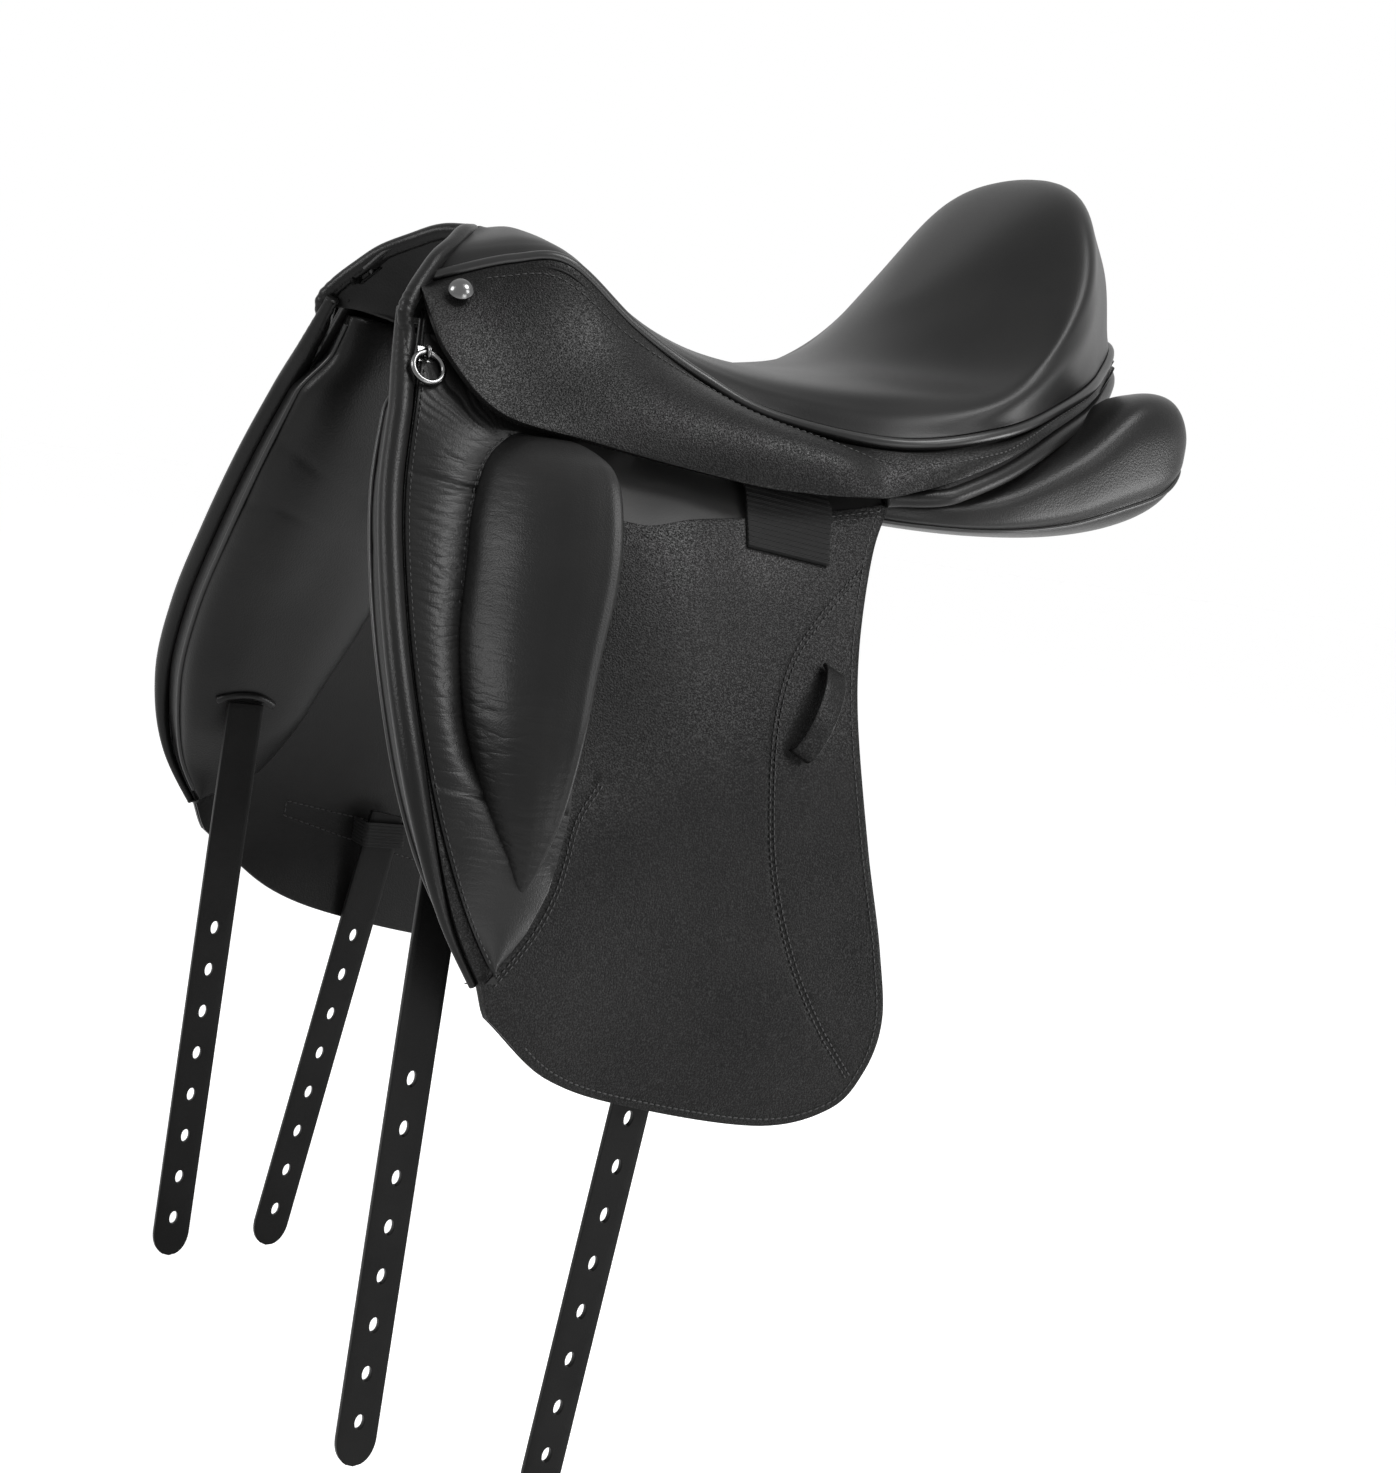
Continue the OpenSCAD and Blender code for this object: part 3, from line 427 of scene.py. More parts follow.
# %% [markdown]
# Every form below is made of a few shapes of numbers: a soft step from 0 to 1, a bell, and a mix
# of two places. Each could be a node or a modifier, but as functions they work on whole arrays,
# so no loop runs over points, and the same ones serve every piece.

# %% Number shapes
def smooth(a):
    """Soft step: 3 squares less 2 cubes, level at 0 and at 1."""
    t = np.clip(a, 0, 1)
    return t * t * (3 - 2 * t)


def rise(a, start, over):
    """Soft step up: 0 below start, 1 from start plus over."""
    return smooth((a - start) / over)


def drop(a, start, over):
    """Soft step for what lies lower: 0 above start, 1 from start less over."""
    return smooth((start - a) / over)


def bell(a, at, width):
    """1 at its middle, falling as e to the minus square of the distance in widths."""
    return np.exp(-((a - at) / width) ** 2)


def mix(a, b, t):
    """a at t = 0, b at t = 1, straight between."""
    return a + (b - a) * t


def unit(v):
    """The same direction with length 1."""
    return v / np.maximum(np.linalg.norm(v, axis=-1, keepdims=True), 1e-9)


def grid(u0, u1, n, v0, v1, m):
    """Two arrays of n by m parameters, at equal steps."""
    return np.meshgrid(np.linspace(u0, u1, n), np.linspace(v0, v1, m), indexing="ij")


def normals(form, u, v, e=2e-3):
    """Normal of a surface function: the cross product of its two slopes."""
    return unit(np.cross(form(u + e, v) - form(u - e, v), form(u, v + e) - form(u, v - e)))


print("soft step at 0, 1/4, 1/2:", smooth(np.array([0, 0.25, 0.5])))

# %% [markdown]
# Leather is never quite even. A noise texture could displace it, but it doesn't know where a seam
# draws it in. Seeded sine waves, added up, give soft relief that is the same at each run. Gathers
# are round ridges with sharp valleys, and the distance from a drawn line gives grooves along it.

# %% Soft relief
WAVES = 12


def ripple(a, b, seed, low, high):
    """Soft random relief, about -1 to 1: seeded sine waves of many directions, added up."""
    rng = np.random.default_rng(seed)
    turn = rng.uniform(0, 2 * np.pi, WAVES)
    pace = rng.uniform(low, high, WAVES)
    start = rng.uniform(0, 2 * np.pi, WAVES)
    phase = a[..., None] * pace * np.cos(turn) + b[..., None] * pace * np.sin(turn) + start
    return np.sin(phase).sum(-1) / math.sqrt(WAVES)


def gathers(a, b, seed, step):
    """Gathers of sewn leather: the root of a sine's size, about step apart along a, with drift."""
    drift = (a / step + 0.8 * ripple(a, b, seed, 0.02, 0.12)
             + 0.25 * ripple(a, b, seed + 1, 0.1, 0.4))
    ridge = np.abs(np.sin(np.pi * drift)) ** 0.55
    return ridge * (0.65 + 0.35 * ripple(a, b, seed + 2, 0.02, 0.1))


def far_from(x, z, line):
    """Distance of each point from a polyline, both in a plane: the least over its spans."""
    p = np.stack([np.asarray(x, float), np.asarray(z, float)], -1)[..., None, :]
    a, b = line[:-1], line[1:]
    ab = b - a
    t = np.clip(((p - a) * ab).sum(-1) / np.maximum((ab ** 2).sum(-1), 1e-9), 0, 1)
    return np.linalg.norm(p - a - t[..., None] * ab, axis=-1).min(-1)


line = np.array([[0, 0], [1, 0]], float)
print("a point 5 mm beside a line is", far_from(0.5, 5.0, line), "mm away")

# %% [markdown]
# A grid of points becomes a mesh in one go, since foreach_set takes whole arrays. Seams and poles
# are merged afterwards, and the faces of a closed form turned outwards. Every finished piece is
# one plain mesh, which can ride on a body and stand for solids.

# %% Mesh makers
WELD_WITHIN = 2e-5


def mesh_piece(name, points, faces, uv=None):
    """An object from points in millimetres and faces that all have the same number of corners."""
    mesh = bpy.data.meshes.new(name)
    mesh.vertices.add(len(points))
    mesh.vertices.foreach_set("co", (points * MM).astype(np.float32).ravel())
    mesh.loops.add(faces.size)
    mesh.loops.foreach_set("vertex_index", faces.astype(np.int32).ravel())
    mesh.polygons.add(len(faces))
    starts = np.arange(len(faces)) * faces.shape[1]
    mesh.polygons.foreach_set("loop_start", starts.astype(np.int32))
    mesh.update(calc_edges=True)
    if uv is not None:
        layer = mesh.uv_layers.new(name="map")
        layer.data.foreach_set("uv", uv[faces.ravel()].astype(np.float32).ravel())
    made = bpy.data.objects.new(name, mesh)
    scene.collection.objects.link(made)
    return made


def grid_faces(n, m, ring=False):
    """Quads of an n by m grid; a ring joins its last column to its first."""
    i, j = np.meshgrid(np.arange(n - 1), np.arange(m if ring else m - 1), indexing="ij")
    k = (j + 1) % m
    return np.stack([i * m + j, (i + 1) * m + j, (i + 1) * m + k, i * m + k], -1).reshape(-1, 4)


def weld(piece, merge=True, fill=False, outward=True):
    """Merges seams and poles, fills open ends, and turns the faces of a closed form outwards."""
    b = bmesh.new()
    b.from_mesh(piece.data)
    if merge:
        bmesh.ops.remove_doubles(b, verts=b.verts, dist=WELD_WITHIN)
    if fill:
        bmesh.ops.holes_fill(b, edges=b.edges)
    if outward:
        bmesh.ops.recalc_face_normals(b, faces=b.faces)
    b.to_mesh(piece.data)
    b.free()


def settle(piece):
    """Applies the modifiers, so the piece is one plain mesh."""
    graph = bpy.context.evaluated_depsgraph_get()
    made = bpy.data.meshes.new_from_object(piece.evaluated_get(graph))
    piece.modifiers.clear()
    piece.data = made
    made.shade_smooth()


def wear_it(piece, finishes, slot, *nodes, body="saddle"):
    """Gives a piece its finishes, the nodes it stands for and the body it rides on; slot is not
    used.
    """
    for f in finishes:
        piece.data.materials.append(f)
    piece.data.shade_smooth()
    if nodes:
        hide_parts(*nodes)
    if body:
        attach(piece, body)
    return piece


print("a ring of 3 by 4 points has", len(grid_faces(3, 4, ring=True)), "faces")

# %% [markdown]
# Most of a saddle is cut from sheets of leather. A sheet could be modelled with both faces, but
# one grid with two modifiers is simpler: the first gives it thickness under its face, the second
# a rounded edge, which is painted.

# %% Sheets
EDGE_ANGLE, EDGE_STEPS = math.radians(50), 2


def lengths(p):
    """Lengths along both directions of a grid, in millimetres, as a map for woven patterns."""
    row = np.r_[0, np.cumsum(np.linalg.norm(np.diff(p, axis=0), axis=-1).mean(1))]
    col = np.r_[0, np.cumsum(np.linalg.norm(np.diff(p, axis=1), axis=-1).mean(0))]
    return np.stack(np.meshgrid(col, row), -1).reshape(-1, 2)


def thicken(piece, thick, edge):
    """Even thickness under the face, whose border takes the second finish, and a rounded edge."""
    skin = piece.modifiers.new("thickness", "SOLIDIFY")
    skin.thickness, skin.offset, skin.use_even_offset = thick * MM, -1, False
    skin.material_offset_rim = 1
    if edge:
        rounded = piece.modifiers.new("edge", "BEVEL")
        rounded.width, rounded.segments, rounded.limit_method = edge * MM, EDGE_STEPS, "ANGLE"
        rounded.angle_limit = EDGE_ANGLE


def sheet(name, p, thick, out, edge=0.6, welded=False):
    """Leather of even thickness under the grid p, whose face looks towards out."""
    n, m = p.shape[:2]
    faces = grid_faces(n, m)
    facing = np.cross(p[1:, :-1] - p[:-1, :-1], p[:-1, 1:] - p[:-1, :-1]).reshape(-1, 3)
    if (facing @ np.asarray(out, float)).sum() < 0:
        faces = faces[:, ::-1]
    made = mesh_piece(name, p.reshape(-1, 3), faces, lengths(p))
    if welded:
        weld(made, outward=False)
    thicken(made, thick, edge)
    return made


def mark_slack(piece, values):
    """Writes how slack the leather is at each point; the finish draws its wrinkles from it."""
    slack = piece.data.attributes.new("slack", "FLOAT", "POINT")
    slack.data.foreach_set("value", values.astype(np.float32).ravel())


def cut(name, p, thick, out, finishes, slot, *nodes, body="saddle", edge=0.6, slack=None):
    """A finished sheet: cut, marked where it is slack, settled and worn."""
    piece = sheet(name, p, thick, out, edge)
    if slack is not None:
        mark_slack(piece, slack)
    settle(piece)
    return wear_it(piece, finishes, slot, *nodes, body=body)


print("edges are rounded in", EDGE_STEPS, "steps past", round(math.degrees(EDGE_ANGLE)), "degrees")

# %% [markdown]
# Cushions are stuffed forms, and welts and piping are rolls. Curve objects could make the rolls,
# but rings of points serve for both, and each point can be moved for a crease. A ring that is
# shrunk to a point closes an end, and welding makes one skin of it.

# %% Stuffed forms and rolls
ROLL_SIDES = 16


def closed_form(name, rings, slack=None):
    """Closed skin over rings of points; a ring shrunk to a point closes an end."""
    n, m = rings.shape[:2]
    made = mesh_piece(name, rings.reshape(-1, 3), grid_faces(n, m, ring=True))
    if slack is not None:
        mark_slack(made, slack)
    weld(made)
    return made


def tube(name, path, radius, across, sides=ROLL_SIDES):
    """Round section carried along a path, narrowing to a point over the last ring at both ends."""
    t = unit(np.gradient(path, axis=0))
    e = unit(np.cross(t, np.asarray(across, float)))
    f = np.cross(t, e)
    a = np.linspace(0, 2 * np.pi, sides, endpoint=False)[:, None]
    r = np.broadcast_to(radius, (len(path),))[:, None, None]
    rings = path[:, None] + r * (np.cos(a) * e[:, None] + np.sin(a) * f[:, None])
    ends = [path[k, None, None] + 0 * rings[:1] for k in (0, -1)]
    return closed_form(name, np.concatenate([ends[0], rings, ends[1]]))


print("a roll has", ROLL_SIDES, "sides where no other number is given")

# %% [markdown]
# Stitches are what tells leather from plastic. A bump could fake them, but it vanishes at an
# edge, so each stitch is a small ellipsoid, laid along its seam at equal steps. There are more
# than a thousand of them, so one has only three rings of six points and two ends.

# %% Stitches
STITCH_PITCH, STITCH_LONG, STITCH_R, STITCH_LIFT = 3.6, 2.9, 0.42, 0.12
STITCH_ROUND, STITCH_RINGS = 6, ((-0.33, 0.8), (0.0, 1.0), (0.33, 0.8))


def stitch_shape():
    """An ellipsoid along x, as points (three rings, then both ends) and triangles."""
    o, k = STITCH_ROUND, np.arange(STITCH_ROUND)
    a, n = k * 2 * np.pi / o, (k + 1) % o
    points = [np.stack([np.full(o, x * STITCH_LONG), w * STITCH_R * np.cos(a),
                        w * STITCH_R * np.sin(a)], 1) for x, w in STITCH_RINGS]
    ends = np.array([[-0.5 * STITCH_LONG, 0, 0], [0.5 * STITCH_LONG, 0, 0]])
    side = ([np.stack([r + k, r + n, r + o + n], 1) for r in (0, o)]
            + [np.stack([r + k, r + o + n, r + o + k], 1) for r in (0, o)])
    caps = [np.stack([np.full(o, 3 * o), n, k], 1),
            np.stack([np.full(o, 3 * o + 1), 2 * o + k, 2 * o + n], 1)]
    return np.vstack(points + [ends]), np.vstack(side + caps)


STITCH, STITCH_TRIS = stitch_shape()


class Seams:
    """All stitches of one side of the saddle."""

    def __init__(self):
        self.points, self.faces, self.count = [], [], 0

    def sew(self, path, normal):
        """Stitches at equal steps of the path's length, turned to its run and its normal."""
        s = np.r_[0, np.cumsum(np.linalg.norm(np.diff(path, axis=0), axis=1))]
        n = max(int(s[-1] / STITCH_PITCH), 1)
        at = (np.arange(n) + 0.5) * s[-1] / n

        def sample(values, d):
            return np.stack([np.interp(at + d, s, values[:, c]) for c in range(3)], 1)

        up = unit(sample(normal, 0))
        run = unit(sample(path, 0.5) - sample(path, -0.5))
        side = unit(np.cross(up, run))
        turned = np.einsum("kj,njc->nkc", STITCH, np.stack([run, side, np.cross(run, side)], 1))
        p = sample(path, 0)[:, None] + STITCH_LIFT * up[:, None] + turned
        self.points.append(p.reshape(-1, 3))
        base = np.arange(n)[:, None, None] * len(STITCH) + self.count
        self.faces.append((STITCH_TRIS[None] + base).reshape(-1, 3))
        self.count += n * len(STITCH)

    def piece(self, name):
        """All stitches so far, as one mesh."""
        made = mesh_piece(name, np.vstack(self.points), np.vstack(self.faces))
        weld(made, merge=False)
        return made


seams = {side: Seams() for side, _ in SIDES}


def sew(path, normal):
    """The same seam on both sides of the saddle."""
    for side, hand in SIDES:
        seams[side].sew(path * hand, normal * hand)


print("a stitch has", len(STITCH), "points and", len(STITCH_TRIS), "triangles")

# %% [markdown]
# The seat is one skin of calf over foam. It could be sculpted, but then foam, webs and tree could
# not follow it, so it is a formula: four guide curves run from the head to the cantle, over the
# middle, the rim, the wall and the seam, and a spline runs across the saddle between them.

# %% Seat surface
SPINE = np.array([[-173, 0, 106], [-160, 0, 108], [-136, 0, 101], [-100, 0, 79], [-60, 0, 64],
                  [-20, 0, 59], [12, 0, 62], [32, 0, 68], [46, 0, 73], [56, 0, 77],
                  [60, 0, 79]], float)
CREST = np.array([[-192, 24, 98], [-167, 32, 104], [-143, 38, 98], [-104, 42, 73], [-64, 50, 58],
                  [-25, 68, 54], [22, 92, 58], [84, 99, 74], [126, 91, 130], [141, 55, 177],
                  [149, 0, 191]], float)
BACK = np.array([[-204, 35, 90], [-172, 45, 99], [-148, 50, 97], [-108, 56, 70], [-69, 66, 54],
                 [-31, 90, 46], [20, 118, 47], [80, 127, 64], [137, 106, 106], [171, 63, 146],
                 [208, 0, 157]], float)
WELT = np.array([[-213, 42, 79], [-179, 52, 92], [-152, 58, 94], [-112, 63, 68], [-74, 74, 49],
                 [-38, 96, 36], [16, 128, 33], [76, 131, 47], [129, 105, 65], [182, 64, 87],
                 [226, 0, 110]], float)
LAST, FIRST, NEAR_WELT = len(WELT) - 1, 0.01, 0.98


def guide(points, u):
    """A guide curve that runs on into its mirror image, so it is level behind the cantle."""
    return curve(np.vstack([points, points[-2] * FLIP]), u)


def seat_point(u, v):
    """Station u from head to cantle, v from the spine to the welt: a spline across four guides."""
    u, v = np.broadcast_arrays(np.asarray(u, float), np.asarray(v, float))
    s, c, b, w = (guide(g, u) for g in (SPINE, CREST, BACK, WELT))
    k = np.stack([c * FLIP, s, c, b, w, 2 * w - b])
    i = np.clip(np.floor(3 * v).astype(int), 0, 2)
    four = (np.take_along_axis(k, (i + q)[None, ..., None], 0)[0] for q in range(4))
    return cubic(*four, (3 * v - i)[..., None])


def seat_normal(u, v):
    """The seat's normal, taken a little inside its borders."""
    return normals(seat_point, np.clip(u, FIRST, LAST), v)


def seat_under(u, v, depth):
    """A point under the seat's face, along its normal."""
    inside = np.clip(v, 1 - NEAR_WELT, NEAR_WELT)
    return seat_point(u, v) - np.asarray(depth)[..., None] * seat_normal(u, inside)


def seat_end(u, d):
    """A point beyond the seam, in the direction in which the seat leather ends."""
    p = seat_point(u, 1.0)
    return p + d * unit(p - seat_point(u, NEAR_WELT))


print("seat from head to crest", round(CREST[-1, 0] - WELT[0, 0]), "mm along x")

# %% [markdown]
# The two halves of the seat are welded along the middle and behind the cantle. Where the guides
# meet in the hollow, the grid bunches up, so points there are relaxed: each moves towards the
# mean of its neighbours, as drawn leather does.

# %% Seat leather
COVER_T, SEAT_START = 2.4, -0.35
CALM = (((62, 0, 80), (75, 60, 60), 240), ((120, 0, 130), (120, 160, 90), 50))


def relax(piece, centre, reach, rounds):
    """Points near a centre move, again and again, halfway to the mean of their neighbours. The
    border, whose edges have one face, stays."""
    m = piece.data
    co = np.empty(3 * len(m.vertices))
    e, sides = np.empty(2 * len(m.edges), int), np.empty(len(m.loops), int)
    m.vertices.foreach_get("co", co)
    m.edges.foreach_get("vertices", e)
    m.loops.foreach_get("edge_index", sides)
    co, e = co.reshape(-1, 3), e.reshape(-1, 2)
    a, b = np.r_[e[:, 0], e[:, 1]], np.r_[e[:, 1], e[:, 0]]
    n = np.bincount(a, minlength=len(co))[:, None]
    share = 0.5 * np.exp(-((co / MM - centre) ** 2 / np.square(reach)).sum(1, keepdims=True))
    share[e[np.bincount(sides, minlength=len(e)) == 1]] = 0
    for _ in range(rounds):
        mean = np.stack([np.bincount(a, co[b, k], len(co)) for k in range(3)], 1) / n
        co += share * (mean - co)
    m.vertices.foreach_set("co", co.ravel())
    m.update()


u, v = grid(SEAT_START, LAST, 186, 0, 1, 57)
seat = sheet("seat", both_halves(seat_point(u, v)), COVER_T, UPWARD, welded=True)
for centre, reach, rounds in CALM:
    relax(seat, centre, reach, rounds)
settle(seat)
wear_it(seat, [calf, edge_paint], "leather", "seat_centre", "seat_facing")
print("seat", len(seat.data.polygons), "faces")

# %% [markdown]
# A cord in painted leather is sewn into the seam of the seat. Its flange, the strip by which it
# is sewn, closes the joint below it. A bevelled curve object would do for the cord, but both
# follow the end of the seat's own surface here, so no gap opens.

# %% Seat welt
WELT_R, GAP, WELT_START = 3.0, 0.4, -0.12
FLANGE_T, FLANGE_DEEP, FLANGE_REACH, FLANGE_AT = 1.0, 2.6, (-2.0, 12.0), 0.97
welt_path = both_halves(seat_end(np.linspace(WELT_START, LAST, 222), WELT_R + 2 * GAP))
wear_it(tube("seat_welt_cord", welt_path, WELT_R, UPWARD), [edge_paint], "leather", "seat_welt")
u, d = grid(WELT_START, LAST, 202, *FLANGE_REACH, 6)
lay = seat_end(u, d[..., None]) - FLANGE_DEEP * seat_normal(u, np.full(u.shape, FLANGE_AT))
flange = cut("seat_welt_flange", both_halves(lay), FLANGE_T, UPWARD, [strap, edge_paint],
             "leather", edge=0)
welt_l = np.linalg.norm(np.diff(welt_path, axis=0), axis=1).sum()
print("seat welt", round(welt_l), "mm; flange", len(flange.data.polygons), "faces")

# %% [markdown]
# Under the seat lies the foam. It could be a thickened copy of the seat's mesh, but it isn't
# even: it is thick in the middle and thin at the head and the border. So it follows the seat's
# own formula, between two depths.

# %% Foam
FOAM_TOP, FOAM_T = COVER_T + GAP, 17.0
FOAM_LOW, FOAM_HEAD, FOAM_RIM = (FOAM_TOP + share * FOAM_T for share in (1, 0.3, 0.4))
FOAM_SINK = 7
u, v = grid(0, LAST, 60, 0, 1, 20)
depth = mix(FOAM_HEAD, mix(FOAM_LOW, FOAM_RIM, smooth(3 * v - 1)), smooth(u / 1.5))
upper = both_halves(seat_under(u, v, FOAM_TOP + FOAM_SINK * rise(u, 4, 2)))
lower = both_halves(seat_under(u, v, depth))
pad = closed_form("foam_pad", np.concatenate([upper, lower[:, ::-1]], 1))
weld(pad, merge=False, fill=True)
wear_it(pad, [foam], "foam", "seat_foam")
print("foam", len(pad.data.polygons), "faces")

# %% [markdown]
# Three webs carry the foam over the opening of the tree, and the tree is a moulded shell with two
# wings for the stirrup bars. Both are depths under the seat's surface as well: what is drawn for
# them is only their outline on that surface.

# %% Webs and tree
WEB_T, WEB_HALF, WEB_REACH, WEB_STATIONS = 1.5, 0.3, 0.33, (4, 4.9, 5.7)
for k, station in enumerate(WEB_STATIONS):
    u, v = grid(station - WEB_HALF, station + WEB_HALF, 14, -WEB_REACH, WEB_REACH, 31)
    p = seat_under(u, np.abs(v), np.full(u.shape, FOAM_LOW + 2 * GAP))
    p[..., 1] *= np.where(v < 0, -1, 1)
    stands_for = ["seat_webs"] if k == 0 else []
    cut(f"seat_web_{k + 1}", p, WEB_T, UPWARD, [web, web], "webbing", *stands_for, edge=0.3)

TREE_INNER = [[2.5, 0], [2.75, 0.1], [3.1, 0.17], [3.6, 0.19], [4.2, 0.19], [5, 0.19], [6, 0.2],
              [7, 0.22], [8, 0.23], [9, 0.23], [10, 0.23]]
TREE_OUTER = [[1.5, 0], [1.55, 0.16], [1.9, 0.36], [2.7, 0.48], [3.8, 0.52], [5, 0.46], [6, 0.38],
              [7, 0.33], [8, 0.3], [9, 0.29], [10, 0.3]]
TREE_TOP, TREE_T, TREE_SINK = FOAM_LOW + 4 * GAP + WEB_T, 8.0, 5
WING, WING_FROM, WING_TO, WING_FADE = np.array([0, 22, -15]), 2.3, 4.9, 0.8


def tree_face(d):
    """The outline at depth d, deeper under the cantle, with the wings pulled out and down."""
    s, t = grid(0, 1, 80, 0, 1, 14)
    q = mix(along(TREE_INNER, s), along(TREE_OUTER, s), t[..., None])
    wing = rise(q[..., 0], WING_FROM, WING_FADE) * drop(q[..., 0], WING_TO, WING_FADE)
    p = seat_under(q[..., 0], q[..., 1], d + TREE_SINK * rise(q[..., 0], 6.5, 1.5))
    return both_halves(p + (wing * t * t)[..., None] * WING)


tree_rings = np.concatenate([tree_face(TREE_TOP), tree_face(TREE_TOP + TREE_T)[:, ::-1]], 1)
tree = wear_it(closed_form("tree_shell", tree_rings), [moulded], "tree", "tree")
print("webs", len(WEB_STATIONS), "and tree with", len(tree.data.polygons), "faces")

# %% [markdown]
# The skirt hangs from the seat's welt and covers the stirrup bar. On the real saddle it is one
# piece of leather that folds when the rider lifts it, so one sheet stands for both solids and
# bends across the fold. Across the sheet a parabola runs through welt, fold and lower edge.

# %% Skirt surface
SKIRT_EDGE = np.array([[-228, 61, 62], [-220, 81, 38], [-196, 100, 14], [-150, 113, 7],
                       [-100, 127, 1], [-52, 139, -2], [8, 147, 4], [70, 140, 27], [124, 115, 53],
                       [182, 70, 77], [228, 0, 100]], float)
FOLD_STATION, LOBE_END, LOBE_FADE, CROWN = 6.5, 5.4, 1.1, 2.5
FOLD_SHARES, FOLD_WITHIN = [0, 0.09, 0.2, 0.36, 0.53, 0.69, 0.9, 1], (0.2, 0.8)
SKIRT_FIRST, SKIRT_SLOPE = 0.2, 0.1
fold_front, fold_rear = SKIRT_EDGE[0], curve(SKIRT_EDGE, FOLD_STATION)


def skirt_sheet(u, w):
    """Station u, w from the welt to the lower edge: a chord with a bulge that meets the fold."""
    u, w = np.broadcast_arrays(np.asarray(u, float), np.asarray(w, float))
    a, b = seat_end(u, 2 * WELT_R + 7 * GAP), guide(SKIRT_EDGE, u)
    share = np.where(u < FOLD_STATION, curve(FOLD_SHARES, np.minimum(u, 7)), 1)[..., None]
    to_fold = mix(fold_front, fold_rear, share) - a
    chord = b - a
    f = (to_fold * chord).sum(-1, keepdims=True) / (chord ** 2).sum(-1, keepdims=True)
    f = np.clip(f, *FOLD_WITHIN)
    behind = rise(u, LOBE_END, LOBE_FADE)
    bulge = (to_fold - f * chord) / (4 * f * (1 - f)) * (1 - behind)[..., None]
    e = 0.02
    run = guide(SKIRT_EDGE, u + e) - guide(SKIRT_EDGE, u - e)
    crown = unit(np.cross(run, chord)) * (CROWN * behind)[..., None]
    w = w[..., None]
    return a + w * chord + 4 * w * (1 - w) * (bulge + crown)


def skirt_point(u, w):
    """The same, carried straight on in front of its first station until it is under the head."""
    u, w = np.broadcast_arrays(np.asarray(u, float), np.asarray(w, float))
    first = np.maximum(u, SKIRT_FIRST)
    ahead_by = skirt_sheet(SKIRT_FIRST + SKIRT_SLOPE, w) - skirt_sheet(SKIRT_FIRST, w)
    return skirt_sheet(first, w) + (u - first)[..., None] * (ahead_by / SKIRT_SLOPE)


print("fold of the skirt", round(float(np.linalg.norm(fold_rear - fold_front))), "mm long")

# %% [markdown]
# The lobe of the skirt is a body of its own. Two sheets would gape at the fold, so one sheet
# covers saddle and lobe, and it rides on no body. A row of stitches follows the welt.

# %% Skirts
SKIRT_T, SKIRT_START, FOLD_SOFT = 3.2, -0.25, 9.0
SKIRT_SEWN, SEWN_INSET, SEWN_MOST = (0.75, 8.6), 8.0, 0.6
u, w = grid(SKIRT_START, LAST - 0.02, 330, 0, 1, 40)
skirt_grid = skirt_point(u, w)
fold_middle = (fold_front + fold_rear) / 2
fold_axis = unit(fold_rear - fold_front)
down = SKIRT_EDGE[4] - fold_middle
down = unit(down - fold_axis * (down @ fold_axis))
for side, hand in SIDES:
    skirt = cut(f"{side}_skirt_leather", skirt_grid * hand, SKIRT_T, (OUTWARD + UPWARD) * hand,
                [pebbled, edge_paint], "leather", f"{side}_skirt", f"{side}_skirt_lobe", body=None)
    (fold_middle - FOLD_SOFT * down) * hand * MM
    (fold_middle + FOLD_SOFT * down) * hand * MM
    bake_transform(skirt)
u = np.linspace(*SKIRT_SEWN, 380)
width = np.linalg.norm(skirt_point(u, 1.0) - skirt_point(u, 0.0), axis=1)
w = np.minimum(SEWN_INSET / width, SEWN_MOST)
sew(skirt_point(u, w), normals(skirt_point, u, w))
print("skirt", len(skirt.data.polygons), "faces")

# %% [markdown]
# The head is the arch at the front. Soft leather lines the hollow behind its welt. A flat loft
# between two curves would look like card, so it sags a little and has soft, random folds.

# %% Head lining
HEAD_LINE = np.array([[-182, 0, 102], [-193, 14, 100], [-203.5, 27, 93], [-214.5, 37, 85],
                      [-223, 44.5, 75.5], [-231, 52, 65], [-236, 57, 55]], float)
LINING_REAR = np.array([[-161, 0, 60], [-167, 15, 57], [-184, 25, 54], [-206, 33, 53]], float)
LINING_T, LINING_TUCK, LINING_OUT = 1.5, np.array([1.5, 0, -2.5]), (-1, 0, -0.6)
LINING_CROWN, LINING_DROP, LINING_FOLD = 1.6, 1.8, 0.5
s, t = grid(-1, 1, 141, 0, 1, 40)
front = along(HEAD_LINE, np.abs(s)) + LINING_TUCK
p = mix(front, along(LINING_REAR, np.abs(s)), t[..., None])
p[..., 1] *= np.where(s < 0, -1, 1)
folds = LINING_FOLD * ripple(60 * s, 40 * t, 5, 0.1, 0.3) * np.sin(np.pi * t)
p[..., 2] += LINING_CROWN * 4 * t * (1 - t) - LINING_DROP * t + folds
arch = cut("head_lining_leather", p, LINING_T, LINING_OUT, [soft, edge_paint], "soft_leather",
           "head_lining")
print("head lining", len(arch.data.polygons), "faces")

# %% [markdown]
# The flap is a patch between four edges, laid on a surface that is given as half widths at
# levels: along its front, its middle and its rear. Pieces on the flap use the same surface,
# raised by their height, so all of them sit on it.

